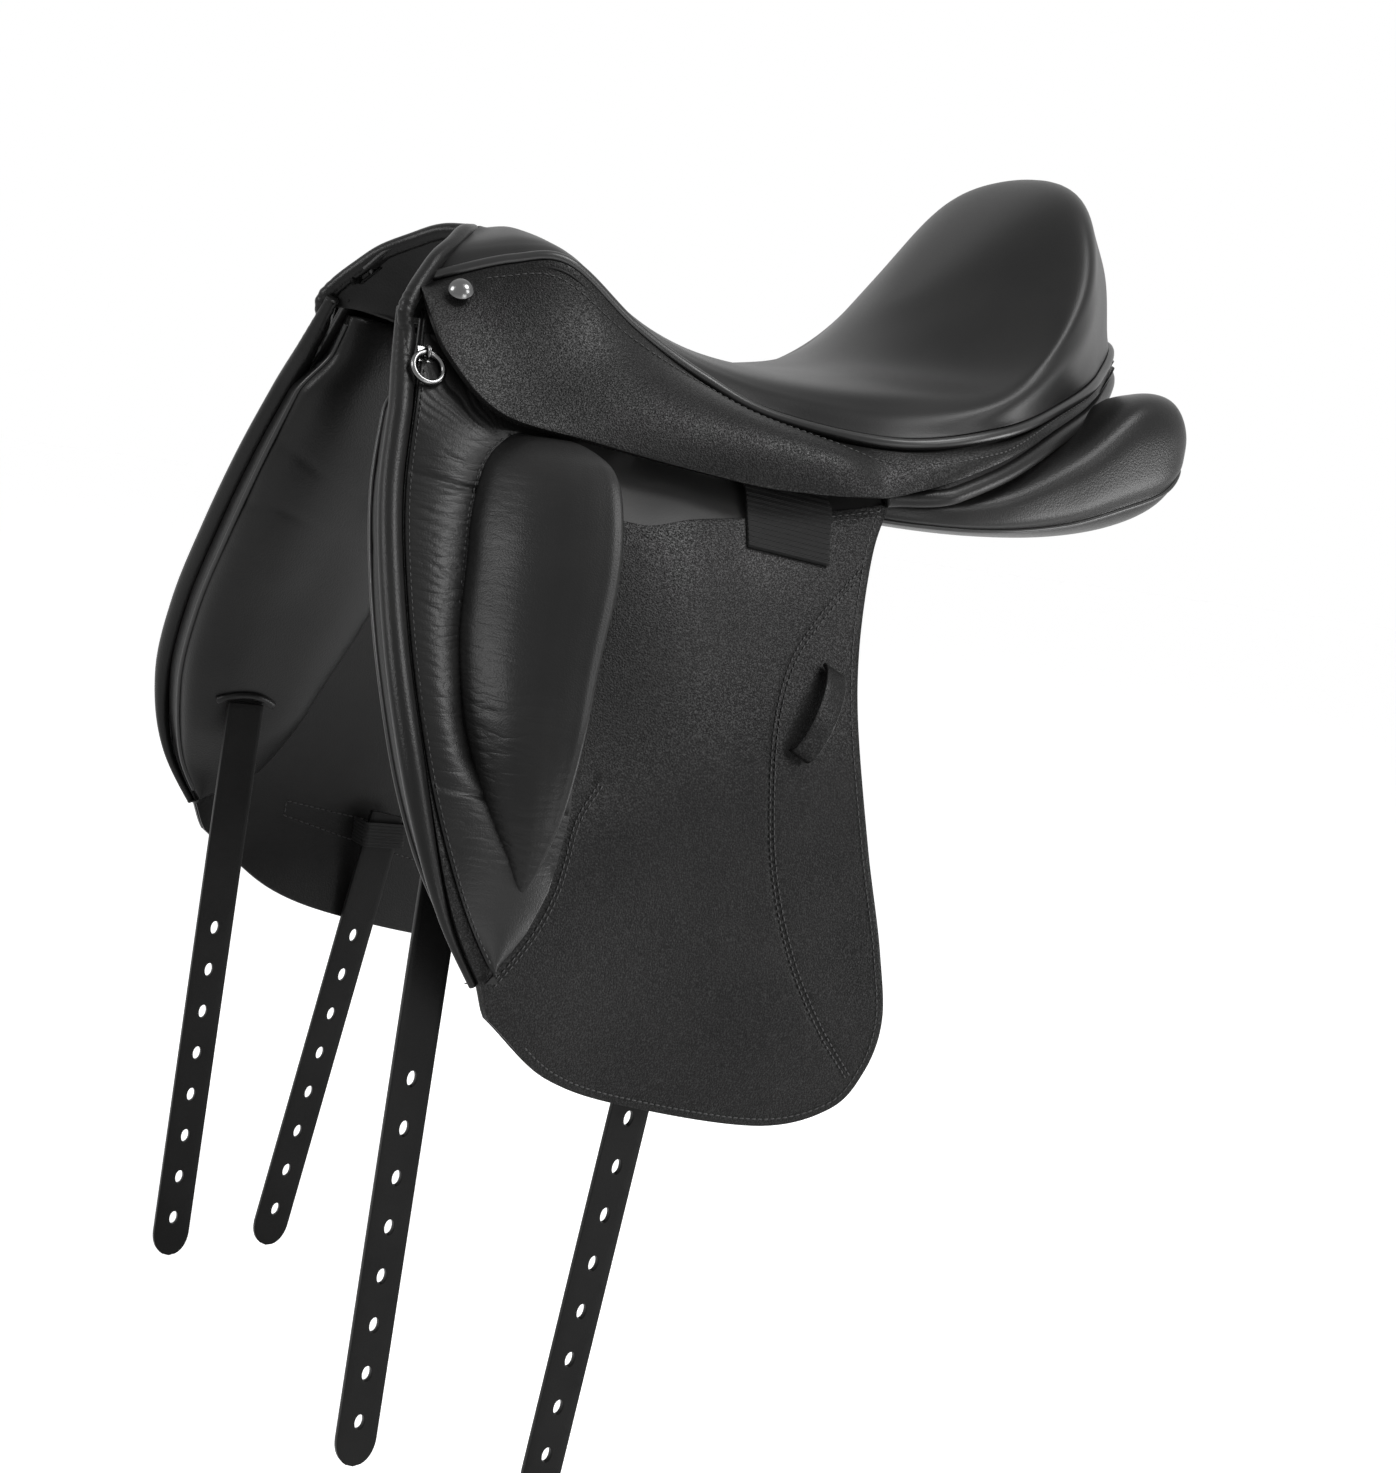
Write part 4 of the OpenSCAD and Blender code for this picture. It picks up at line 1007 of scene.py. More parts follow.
# %% Flap surface
LEVEL_TOP, LEVEL_STEP, HEAD_LEVEL = 60, 46, 5
FLAP_FRONT = [54, 79, 104, 134, 166, 194, 211, 212, 200, 182]
FLAP_MIDDLE = [66, 102, 139, 166, 185, 197, 202, 201, 193, 182]
FLAP_REAR = [108, 130, 150, 169, 186, 197, 202, 201, 193, 182]
EDGE_LEVELS = [-237, -246, -255, -259, -259.5, -254, -238, -207]
EDGE_TOP, EDGE_LOW = LEVEL_TOP - 2, -262
FLAP_T, SWEAT_T, ROLL_R, ROLL_TIP = 4.5, 2.5, 6.0, 2.0
PANEL_FACE = FLAP_T + 2 * GAP + SWEAT_T


def by_level(values, z):
    """A value that is given at equal steps of height, read at any height."""
    return curve(values, (LEVEL_TOP - np.asarray(z, float)) / LEVEL_STEP)


def on_flap(x, z, d):
    """The flap's surface over x and z, raised by d: three profiles, mixed softly along x."""
    x, z, d = np.broadcast_arrays(*(np.asarray(a, float) for a in (x, z, d)))
    y = mix(by_level(FLAP_FRONT, z), by_level(FLAP_MIDDLE, z), rise(x, -245, 150))
    y = mix(y, by_level(FLAP_REAR, z), rise(x, -80, 90))
    return np.stack([x, y + d, z], -1)


def front_x(z):
    """x of the front edge at a height."""
    return by_level(EDGE_LEVELS, z)


def front_edge(t):
    """The front edge from its top to its bottom, as x and z."""
    z = mix(EDGE_TOP, EDGE_LOW, np.asarray(t, float))
    return np.stack([front_x(z), z], -1)


def near_head(z, over=25):
    """0 below the head's arch, 1 from a height of over above its foot."""
    return rise(z, HEAD_LEVEL, over)


print("flap stands out", max(FLAP_FRONT), "mm at its widest")

# %% [markdown]
# Four edges bound the flap. A filled outline would have no even grid to bend, so a transfinite
# patch fills them. The rear and the bottom edge are a single curve, so that the corner between
# them is round, and the front is set back behind the roll.

# %% Flap outline
BOTTOM = np.vstack([front_edge(1.0), [[-165, -293], [-112, -308], [-39, -317], [0, -307]]])
REAR = np.array([[11, -1], [-1, -28], [-12, -75], [-14, -118], [-6, -172], [8, -222], [17, -258],
                 [14, -286], [0, -307]], float)
TOP = np.vstack([front_edge(0.0), [[-200, 22], [-158, -20], [-130, -29], [-100, -23], [-60, -17],
                                   [11, -1]]])
ROUND = np.vstack([REAR, BOTTOM[-2::-1]])


def rear_edge(t):
    """The first part of the round edge, from the top to the corner."""
    return curve(ROUND, np.asarray(t, float) * (len(REAR) - 1))


def bottom_edge(s):
    """The rest of the round edge, from the front to the corner."""
    return curve(ROUND, len(ROUND) - 1 - np.asarray(s, float) * (len(BOTTOM) - 1))


def roll_radius(z):
    """The front roll narrows towards the bottom."""
    return ROLL_R - (ROLL_R - ROLL_TIP) * drop(z, -140, 106)


def flap_patch(s, t):
    """Transfinite patch: both pairs of opposite edges, mixed, less the mix of the corners."""
    s, t = np.broadcast_arrays(np.asarray(s, float), np.asarray(t, float))
    sk, tk = s[..., None], t[..., None]
    corners = mix(mix(front_edge(0.0), REAR[0], sk), mix(front_edge(1.0), REAR[-1], sk), tk)
    p = ((1 - tk) * along(TOP, s) + tk * bottom_edge(s) + (1 - sk) * front_edge(t)
         + sk * rear_edge(t) - corners)
    z = mix(EDGE_TOP, EDGE_LOW, t)
    p[..., 0] += (2 * roll_radius(z) + 0.5) * (1 - s) ** 3 * rise(z, EDGE_LOW, 20)
    return p


print("flap reaches down to", round(float(BOTTOM[:, 1].min())), "mm")

# %% [markdown]
# The flap leather carries four seams: a double one inside a shallow groove near the rear edge,
# one round the border, a double one beside the foot of the knee roll and a double one along the
# top. The grooves are in the mesh, and the stitches are laid on the same surface.

# %% Seams of the flap
REAR_SEAM = np.array([[-7.8, -36.7], [-33.9, -62.8], [-53.1, -88.3], [-63.1, -122.1],
                      [-63.4, -164.9], [-56.2, -198.6], [-40.6, -233], [-18.9, -263.6], [5, -289]])
POCKET = np.array([[-160, -148], [-172.3, -166], [-178.5, -186], [-183, -200], [-193.5, -219.5],
                   [-212, -243]])
TOP_SEWN, BORDER_INSET = (0.52, 0.985), -4.0
REAR_GROOVE, REAR_GROOVE_W, POCKET_GROOVE, POCKET_GROOVE_W = 0.7, 1.8, 0.8, 2.0
rear_line = along(REAR_SEAM, np.linspace(0, 1, 120))
pocket_line = along(POCKET, np.linspace(0, 1, 80))
top_line = along(TOP, np.linspace(*TOP_SEWN, 200))
round_line = np.vstack([rear_edge(np.linspace(0.02, 1, 500)),
                        bottom_edge(np.linspace(1, 0.12, 500))[1:]])
FLAP_SEAMS = ((rear_line, 1.2), (rear_line, -1.2), (round_line, BORDER_INSET), (pocket_line, 2.5),
              (pocket_line, 4.5), (top_line, -3.0), (top_line, -5.5))


def flap_relief(x, z):
    """Grooves where the seams draw the leather in: bells across the distance from the seam."""
    rear, pocket = far_from(x, z, rear_line[::3]), far_from(x, z, pocket_line[::3])
    return (-REAR_GROOVE * bell(rear, 0, REAR_GROOVE_W)
            - POCKET_GROOVE * bell(pocket, 0, POCKET_GROOVE_W))


def shifted(line, d):
    """The line moved sideways by d in its own plane."""
    run = unit(np.gradient(line, axis=0))
    return line + d * np.stack([-run[:, 1], run[:, 0]], 1)


def sew_on_flap(line, d=0.0, face=1.0):
    """A seam along x and z at height d; the normal is a cross product of two small steps."""
    x, z = line.T
    p, e = on_flap(x, z, d), 0.5
    n = np.cross(on_flap(x, z + e, d) - p, on_flap(x + e, z, d) - p)
    sew(p, face * (unit(n) * np.sign(n[:, 1:2])))


for line, inset in FLAP_SEAMS:
    sew_on_flap(shifted(line, inset))
print("seams of a flap", len(FLAP_SEAMS))

# %% [markdown]
# The flap is a firm sheet of pebbled leather. Close behind it hangs the softer sweat flap, cut to
# the same outline. One could be a copy of the other, moved inwards, but it would then not fit the
# curve. Both are grids on the same patch, at their own depths.

# %% Flaps and sweat flaps
s, t = grid(0, 1, 132, 0, 1, 170)
x, z = np.moveaxis(flap_patch(s, t), -1, 0)
flap_grid = on_flap(x, z, flap_relief(x, z))
s, t = grid(0, 1, 70, 0, 1, 90)
x, z = np.moveaxis(flap_patch(s, t), -1, 0)
sweat_grid = on_flap(x, z, -FLAP_T - GAP - SWEAT_T)
for side, hand in SIDES:
    flap = cut(f"{side}_flap_leather", flap_grid * hand, FLAP_T, OUTWARD * hand,
               [pebbled, edge_paint], "leather", f"{side}_flap", edge=1.0)
    sweat = cut(f"{side}_sweat_leather", sweat_grid * hand, SWEAT_T, -OUTWARD * hand,
                [soft, edge_paint], "soft_leather", f"{side}_sweat_flap")
print("flap", len(flap.data.polygons), "faces, sweat flap", len(sweat.data.polygons))

# %% [markdown]
# A thick welt runs over the arch of the head and down to the rolls in front of both flaps. A
# plain tube would be too even, so the radius has a pinch where the leather is drawn round the
# bend, and the rolls have fine ripples near the head.

# %% Head welt and front rolls
HEAD_R, HEAD_TAIL, ROLL_TOP, ROLL_LOW = 4.3, np.array([44.0, 30.0]), 57, -246


def roll_centre(z, r):
    """A roll of radius r behind the front edge, level with the panel's face, sunk at the head."""
    at = on_flap(front_x(z), z, r - PANEL_FACE + GAP - 3 * near_head(z))
    return at + np.stack([r, 0 * z, 0 * z], -1)


tail = roll_centre(HEAD_TAIL, np.full(2, ROLL_R))
head_path = both_halves(along(np.vstack([HEAD_LINE, tail]), np.linspace(1, 0, 150)))
k = np.arange(len(head_path))
end = np.minimum(k, k[::-1])
pinch = 0.22 * bell(end, 38, 14) * np.sin(end * 0.9) - 0.4 * bell(end, 30, 9)
wear_it(tube("head_welt_roll", head_path, HEAD_R + pinch, FORWARD, 24), [soft], "leather",
        "head_welt")
z = np.linspace(ROLL_TOP, ROLL_LOW, 260)
r = roll_radius(z) - 2.4 * (1 - drop(z, ROLL_TOP, 40))
r = r + 0.12 * near_head(z, 30) * np.sin(z * 1.5)
for side, hand in SIDES:
    wear_it(tube(f"{side}_front_roll", roll_centre(z, r) * hand, r, FORWARD, 28), [soft],
            "leather", f"{side}_flap_roll")
print("front roll", round(float(2 * r.max()), 1), "mm thick")

# %% [markdown]
# The knee roll is a firm wedge: its ridge lies near the rear, and its cover is drawn into
# wrinkles towards the front seam and the tip. Cloth simulation would put the folds where it
# likes. Here rows from top to tip carry one profile, and gathers are added where the cover is
# slack.

# %% Knee rolls
KNEE_ROWS = np.array([[6, -180, -164, 0.02], [4.5, -186, -157, 0.4], [-1, -193, -151.5, 0.74],
                      [-7, -198.5, -149.8, 0.89], [-16, -203.5, -149.8, 0.96],
                      [-35, -210, -152.5, 1], [-58, -215, -158, 1], [-94, -223, -170, 0.98],
                      [-128, -225, -179, 0.88], [-162, -219, -187, 0.6], [-190, -208, -195, 0.25],
                      [-200, -203, -199, 0.08], [-202, -201, -200.5, 0.01]], float)
KNEE_PROFILE = np.array([[0, 0], [0.05, 0.3], [0.22, 0.64], [0.44, 0.86], [0.62, 0.95],
                         [0.76, 0.99], [0.86, 1], [0.94, 0.93], [0.99, 0.6], [1, 0]], float)
KNEE_H, KNEE_FOLD, KNEE_STEP = 44.0, 0.8, 5.5


def knee_front(z):
    """x of the front seam at a height."""
    return np.interp(z, KNEE_ROWS[::-1, 0], KNEE_ROWS[::-1, 1])


def knee_slack(z, a):
    """1 where the cover is drawn into wrinkles: at the front seam, and all over at the tip."""
    front = (1 - rise(a, 0.12, 0.4)) * (0.35 + 0.45 * drop(z, -60, 60))
    tip = 0.8 * drop(z, -105, 45) * (1 - rise(a, 0.55, 0.2))
    return np.clip(front + tip, 0, 1)


def knee_point(s, a):
    """Row s from the top to the tip, a across the profile; wrinkles grow towards the seam."""
    row, out = along(KNEE_ROWS, s), along(KNEE_PROFILE, np.clip(a, 0, 1))
    x, z = mix(row[..., 1], row[..., 2], out[..., 0]), row[..., 0]
    h = KNEE_H * row[..., 3] * out[..., 1]
    fold = gathers(z - 0.25 * x, x, 21, KNEE_STEP) - 0.5
    wrinkle = KNEE_FOLD * knee_slack(z, a) * fold * np.minimum(1, h / 8)
    return on_flap(x, z, 2 * GAP + h + wrinkle)


s, a = grid(0, 1, 210, 0, 1, 90)
knee_face = knee_point(s, a)
s, f = grid(0, 1, 210, 1, 0, 12)
row = along(KNEE_ROWS, s)
knee_base = on_flap(mix(row[..., 1], row[..., 2], f), row[..., 0], 2 * GAP)
knee_rings = np.concatenate([knee_face, knee_base[:, 1:-1]], 1)
knee_loose = np.concatenate([knee_slack(knee_face[..., 2], a), 0 * f[:, 1:-1]], 1)
for side, hand in SIDES:
    knee = closed_form(f"{side}_knee_pad", knee_rings * hand, slack=knee_loose)
    wear_it(knee, [gathered], "soft_leather", f"{side}_knee_roll")
z = np.linspace(2, -198, 300)
sew_on_flap(np.stack([knee_front(z) - 1.5, z], 1), 2.2)
print("knee roll", len(knee.data.polygons), "faces")

# %% [markdown]
# Between front roll and knee roll the leather is gathered into fine folds by its seams: they run
# across the strip, and fan out round the top of the knee roll. Two cross seams draw it in. Bump
# alone would leave its outline flat, so the folds are in the mesh, and the finish adds finer
# wrinkles.

# %% Gathered leather
STRIP_RIGHT = np.array([[46, -212], [30, -196], [14, -176], [2, -166], [-20, -180], [-60, -196],
                        [-120, -200], [-150, -172], [-166, -174.5], [-186, -180.5], [-200, -185],
                        [-219.5, -195.5], [-243, -214]])
STRIP_T, STRIP_LIFT, STRIP_CROWN, CROSS_SEAMS = 1.4, 1.6, 5.0, (-22.0, -158.0)
FAN_X, FAN_Z, FAN_R = -188, -8, 34
z, f = grid(46, -243, 290, 0, 1, 66)
x0 = front_x(z) + 2 * ROLL_R + 1.0
x1 = np.interp(z, STRIP_RIGHT[::-1, 0], STRIP_RIGHT[::-1, 1])
x = mix(x0, x1, f)
seam_x = mix(knee_front(z), x1, drop(z, -140, 60))
g = np.clip((x - x0) / np.maximum(seam_x - x0, 4), 0, 1)
crown = STRIP_CROWN * 4 * g * (1 - g) * drop(z, 30, 40) * (1 - 0.6 * drop(z, -180, 30))
fan = np.arctan2(z - FAN_Z, x - FAN_X) * FAN_R
in_fan = rise(z, -6, 14)
across = gathers(z + 0.3 * x, x, 31, 5.0)
pleat = mix(across, gathers(fan, np.hypot(x - FAN_X, z - FAN_Z), 33, 4.2), in_fan) - 0.5
calm = 1 - 0.8 * drop(z, -180, 20)
seamed = sum(bell(z - c + 0.12 * (x + 230), 0, 1.5) for c in CROSS_SEAMS)
drawn = calm * smooth(g / 0.08) * drop(f, 1, 0.06)
lift = STRIP_LIFT + crown + mix(0.35, 1.1, in_fan) * pleat * drawn - 1.4 * seamed * drawn
strip_grid = on_flap(x, z, lift)
for side, hand in SIDES:
    strip = cut(f"{side}_gathered_leather", strip_grid * hand, STRIP_T, OUTWARD * hand,
                [gathered, edge_paint], "soft_leather", f"{side}_gathered_strip", edge=0.4,
                slack=calm * (1 - in_fan))
z = np.linspace(30, -240, 300)
sew_on_flap(np.stack([front_x(z) + 2 * ROLL_R + 2.5, z], 1), 2.4)
print("gathered leather", len(strip.data.polygons), "faces")

# %% [markdown]
# Straps on the flap: the ribbed girth web comes out from under the skirt and enters the flap, and
# a small leather keeper bows out for the end of the stirrup leather. Both are grids raised from
# the flap's surface, so their ends lie on it by themselves.

# %% Girth web and keeper
WEB_TOP, WEB_SLOT, WEB_W, GIRTH_T = np.array([-40, 16.0]), np.array([-49, -33.0]), 43.0, 1.8
RIB_HIGH, WEB_SLANT, WEB_SINK = 0.35, 4, 9
s, f = grid(0, 1, 160, -0.5, 0.5, 24)
x, z = np.moveaxis(mix(WEB_TOP, WEB_SLOT, s[..., None]), -1, 0)
ribs = RIB_HIGH * np.sin(2 * np.pi * s * np.linalg.norm(WEB_SLOT - WEB_TOP) / WEB_RIB)
web_lift = 2 * GAP + GIRTH_T + ribs - WEB_SINK * rise(z, -8, 14)
web_grid = on_flap(x + f * WEB_W, z - WEB_SLANT * f, web_lift)
KEEPER = np.array([[-29, -85], [-52, -129.0]])
KEEPER_W, KEEPER_BOW, KEEPER_T, KEEPER_ROUND = 12.0, 11.0, 2.5, 0.5
s, f = grid(0, 1, 60, -0.5, 0.5, 16)
d = KEEPER[1] - KEEPER[0]
cross_way = np.array([-d[1], d[0]]) / np.linalg.norm(d) * KEEPER_W
x, z = np.moveaxis(mix(KEEPER[0], KEEPER[1], s[..., None]) + f[..., None] * cross_way, -1, 0)
bow = KEEPER_BOW * np.sqrt(4 * s * (1 - s))
keeper_grid = on_flap(x, z, GAP + bow + KEEPER_T - KEEPER_ROUND * (2 * f) ** 4)
for side, hand in SIDES:
    cut(f"{side}_girth_strap", web_grid * hand, GIRTH_T, OUTWARD * hand, [web, web], "webbing",
        f"{side}_girth_web", edge=0.4)
    cut(f"{side}_keeper_strap", keeper_grid * hand, KEEPER_T, OUTWARD * hand,
        [pebbled, edge_paint], "leather", f"{side}_leather_keeper", edge=0.7)
print("girth web", round(WEB_W), "mm wide; keeper", round(float(np.linalg.norm(d))), "mm long")

# %% [markdown]
# Smooth leather lines the place under the stirrup bar, so that the stirrup leather slides. A flat
# patch would show its edges once the skirt is lifted, so it starts at the curve of the flap's top
# and leans in towards the tree.

# %% Bar lining
BAR_LINING_T, BAR_LINING_FROM, BAR_LINING_H = 1.6, 0.30, 50
s, t = grid(0, 1, 80, 0, 1, 26)
x, z = np.moveaxis(along(TOP, mix(BAR_LINING_FROM, 1, s)), -1, 0)
climb = BAR_LINING_H * t * (1 - 0.55 * s)
bar_grid = on_flap(x, z - 2.0 + climb, -0.5 * FLAP_T - 6 * t - 14 * t * t)
# The lining finish is black leather painted lighter: painted light in the shade under the skirt.
for side, hand in SIDES:
    cut(f"{side}_bar_leather", bar_grid * hand, BAR_LINING_T, OUTWARD * hand, [lining, edge_paint],
        "soft_leather", f"{side}_bar_lining", edge=0.3)
print("bar lining", round(float(np.ptp(x))), "mm long")

# %% [markdown]
# The panels are the stuffed cushions on the horse's side. The front one fills the flap from the
# head down and has soft creases where the stuffing gives way. Rows from the head down carry one
# profile, and the creases are grooves along drawn lines, wide and soft with a sharp bottom.

# %% Front panels
PANEL_ROWS = np.array([[50, -190, 0.05], [46, -176, 0.35], [14, -152, 0.65], [-32, -140, 0.9],
                       [-78, -139, 1], [-124, -148, 1], [-165, -162, 1], [-195, -172, 0.87],
                       [-225, -185, 0.35], [-243, -213, 0.1], [-246, -220, 0.02]], float)
PANEL_PROFILE = np.array([[1, 0.04], [1, 0.5], [0.94, 0.8], [0.75, 0.97], [0.5, 1], [0.25, 0.97],
                          [0.06, 0.8], [0, 0.5], [0, 0.04]], float)
PANEL_INSET, PANEL_T, HEAD_INSET = 6.5, 40.0, 9
CREASES = ((2.0, 0.5, [[-268, -8], [-248, -20], [-230, -30], [-206, -42], [-165, -54]]),
           (2.3, 0.7, [[-268, -62], [-240, -58], [-220, -63], [-192, -72], [-140, -84]]),
           (1.0, 0.3, [[-266, -78], [-238, -88], [-214, -98]]))
SOFT_W, SHARP_W, CREASE_END = 16, 2.5, 26
PIPING_AT, PANEL_PIPING_R = 0.875, 1.5


def panel_front(z):
    """x of the front border at a height: behind the roll, further back under the head."""
    return front_x(z) + PANEL_INSET + HEAD_INSET * near_head(z)


def panel_row(z):
    """The row, from 0 to 1, at a height."""
    return np.interp(-z, -PANEL_ROWS[:, 0], np.linspace(0, 1, len(PANEL_ROWS)))


def panel_point(s, a, give=1.0):
    """Row s from the head down, a round the profile from the rear border to the front one. The
    stuffing gives way along the creases and swells beside them."""
    row, out = along(PANEL_ROWS, s), along(PANEL_PROFILE, a)
    z = row[..., 0]
    x = mix(panel_front(z), row[..., 1], out[..., 0])
    h = PANEL_T * row[..., 2] * out[..., 1]
    soft_h = give * np.minimum(1, h / 14)
    for deep, sharp, points in CREASES:
        away = far_from(x, z, along(points, np.linspace(0, 1, 24)))
        fade = soft_h * smooth(np.hypot(x - points[-1][0], z - points[-1][1]) / CREASE_END)
        h = h - fade * (deep * bell(away, 0, SOFT_W) + sharp * bell(away, 0, SHARP_W))
    h = h + 0.7 * soft_h * ripple(x, z, 41, 0.02, 0.09)
    return on_flap(x, z, -PANEL_FACE - h)


s, a = grid(0, 1, 230, 0, 1, 100)
panel_inner = panel_point(s, a)
s, f = grid(0, 1, 230, 0, 1, 14)
row = along(PANEL_ROWS, s)
panel_back = on_flap(mix(panel_front(row[..., 0]), row[..., 1], f), row[..., 0], -PANEL_FACE - GAP)
panel_rings = np.concatenate([panel_inner, panel_back[:, 1:-1]], 1)
z = np.linspace(44, -236, 260)
piping = panel_point(panel_row(z), np.full(z.shape, PIPING_AT), give=0.0)
for side, hand in SIDES:
    panel = closed_form(f"{side}_front_cushion", panel_rings * hand)
    wear_it(panel, [soft], "soft_leather", f"{side}_front_panel")
    wear_it(tube(f"{side}_panel_piping", piping * hand, PANEL_PIPING_R, FORWARD, 10), [edge_paint],
            "leather")
print("front cushion", len(panel.data.polygons), "faces")

# %% [markdown]
# Behind the cantle a stuffed roll binds seat, skirts and rear panels together, and a thin facing
# closes the joint above it. They could follow a curve of their own, but the lower edge of the
# skirts is already known, so both follow that, and tuck in at their ends.

# %% Rear binding
BINDING_R, FACING_T, TUCK, TUCK_OVER = 4.5, 1.2, np.array([0, -10, 5]), 0.6
BINDING_DROP, FACING_DROP = np.array([0, -1, -SKIRT_T - BINDING_R - GAP]), np.array([0, 0, -4])
u = np.linspace(FOLD_STATION - 0.5, LAST, 160)
tucked = 1 - rise(u, u[0], TUCK_OVER)
half = guide(SKIRT_EDGE, u) + BINDING_DROP + tucked[:, None] * TUCK
lay = mix((seat_end(u, 5.0) + FACING_DROP)[:, None], half[:, None], np.linspace(0, 1, 12)[:, None])
cut("rear_facing", both_halves(lay), FACING_T, FORWARD, [soft, edge_paint], "soft_leather", edge=0)
binding_path = both_halves(half)
wear_it(tube("rear_binding_roll", binding_path, BINDING_R, UPWARD, 20), [soft], "leather",
        "rear_binding")
binding_l = np.linalg.norm(np.diff(binding_path, axis=0), axis=1).sum()
print("rear binding", round(binding_l), "mm")

# %% [markdown]
# The rear panels carry the cantle. Each is a cushion with a rounded, boxlike section that grows
# towards the rear, and a gusset seam with piping runs round its lower edge. A superellipse gives
# the section, since one power turns a circle into a soft box.

# %% Rear panels
REAR_ROWS = np.array([[-132, 16, 70, 5, 13, 9], [-128, 10, 76, 0, 18, 8], [-115, 4, 84, -8, 20, 4],
                      [-70, 0, 93, -12, 20, 2], [-20, 0, 117, -13, 20, 4],
                      [30, 0, 136.5, -14, 20, 6], [80, 0, 140, -13, 24, 18],
                      [130, 0, 134, -9, 38, 46], [172, 3, 127, 0, 57.6, 80],
                      [203, 10, 119, 14, 74.6, 82], [219, 26, 108, 33, 67, 66],
                      [224, 40, 92, 47, 56, 54]], float)
CHANNEL_HALF, PANEL_POWER, GUSSET_PIPING_R = 33.0, 0.62, 1.3
GUSSET_DEEP, GUSSET_UP, GUSSET_TURN, REAR_SWELL = 1.2, 0.22, math.pi + 0.5, 0.6


def power(c):
    """A sine or cosine, raised to a power with its sign kept."""
    return np.sign(c) * np.abs(c) ** PANEL_POWER


def rear_point(s, angle):
    """Row s along the horse. The section is a superellipse between channel and outer side, with a
    dent at the gusset and a soft swell."""
    r = along(REAR_ROWS, s)
    x, inner, outer, low = r[..., 0], CHANNEL_HALF + r[..., 1], r[..., 2], r[..., 3]
    f = 0.5 - 0.5 * power(np.cos(angle))
    up = 0.5 + 0.5 * power(np.sin(angle))
    high = mix(r[..., 4], r[..., 5], f)
    dent = GUSSET_DEEP * bell(up, GUSSET_UP, 0.05) * drop(np.cos(angle), 0.2, 0.4)
    p = np.stack([x, mix(inner, outer, f) - dent, mix(low, high, up)], -1)
    middle = np.stack([x, mix(inner, outer, 0.5), mix(low, high, 0.5)], -1)
    swell = REAR_SWELL * ripple(x, 60 * angle, 51, 0.02, 0.06)
    return p + swell[..., None] * unit(p - middle)


s, a = grid(0, 1, 230, 0, 2 * np.pi, 121)
rear_rings = rear_point(s, a)[:, :-1]
ends = [np.broadcast_to(rear_rings[k].mean(0), (1,) + rear_rings[k].shape) for k in (0, -1)]
rear_rings = np.concatenate([ends[0], rear_rings, ends[1]])
s = np.linspace(0.28, 0.985, 260)
gusset = rear_point(s, np.full(s.shape, GUSSET_TURN))
for side, hand in SIDES:
    rear = closed_form(f"{side}_rear_cushion", rear_rings * hand)
    wear_it(rear, [soft], "soft_leather", f"{side}_rear_panel")
    wear_it(tube(f"{side}_gusset_piping", gusset * hand, GUSSET_PIPING_R, UPWARD, 10),
            [edge_paint], "leather")
print("rear cushion", len(rear.data.polygons), "faces")

# %% [markdown]
# The billets are flat straps with oval holes. A boolean would leave long, thin faces, so the
# strap is laid out as cells: a cell with a hole is a ring of quads between the hole and the
# cell's border, a plain cell is a small grid, and the tip narrows to a point.

# %% Flat billets
BILLET_W, BILLET_T, HOLES, PITCH, HOLE_W, HOLE_H = 21.0, 3.5, 8, 25.0, 5.0, 8.0
TIP, TIP_CELL, TIP_POWER, CELL, CELL_RINGS = 23.0, 8, 2.2, 8, (0, 0.12, 0.4, 1)


def border_walk(low, high):
    """The outline of a cell, CELL steps to a side."""
    t, h = np.arange(CELL) / CELL, BILLET_W / 2
    return np.concatenate([np.stack([mix(-h, h, t), 0 * t + low], 1),
                           np.stack([0 * t + h, mix(low, high, t)], 1),
                           np.stack([mix(h, -h, t), 0 * t + high], 1),
                           np.stack([0 * t - h, mix(high, low, t)], 1)])


def billet_flat(length):
    """Flat strap with its top at 0, running down: points (x, z) and quads."""
    first = TIP - length
    low, start = first - TIP_CELL, first + PITCH * (HOLES - 0.5)
    blocks = []
    for k in range(HOLES):
        c = first + PITCH * k
        walk = border_walk(c - PITCH / 2 if k else low, c + PITCH / 2)
        turn = np.arctan2(walk[:, 1] - c, walk[:, 0])
        oval = np.stack([HOLE_W / 2 * np.cos(turn), c + HOLE_H / 2 * np.sin(turn)], 1)
        rings = np.stack([mix(oval, walk, q) for q in CELL_RINGS])
        blocks.append((rings, grid_faces(len(CELL_RINGS), 4 * CELL, ring=True)))
    sideways, down = np.meshgrid(np.linspace(-0.5, 0.5, CELL + 1), np.linspace(0, 1, 14))
    width = BILLET_W * np.sqrt(np.clip(1 - down ** TIP_POWER, 0, 1))
    blocks.append((np.stack([sideways * width, low - down * (low + length)], -1),
                   grid_faces(14, CELL + 1)))
    sideways, down = np.meshgrid(np.linspace(-0.5, 0.5, CELL + 1), np.linspace(start, 0, 30))
    blocks.append((np.stack([sideways * BILLET_W, down], -1), grid_faces(30, CELL + 1)))
    bases = np.cumsum([0] + [p.size // 2 for p, _ in blocks])
    return (np.vstack([p.reshape(-1, 2) for p, _ in blocks]),
            np.vstack([quads + base for (_, quads), base in zip(blocks, bases)]))


print("a billet has", HOLES, "holes", round(PITCH), "mm apart")

# %% [markdown]
# Two billets hang on each side: the front one out of its cushion, the rear one out of a slit in
# the sweat flap, leaning a little as the straps of a saddle on a stand do. Each is a body of its
# own.

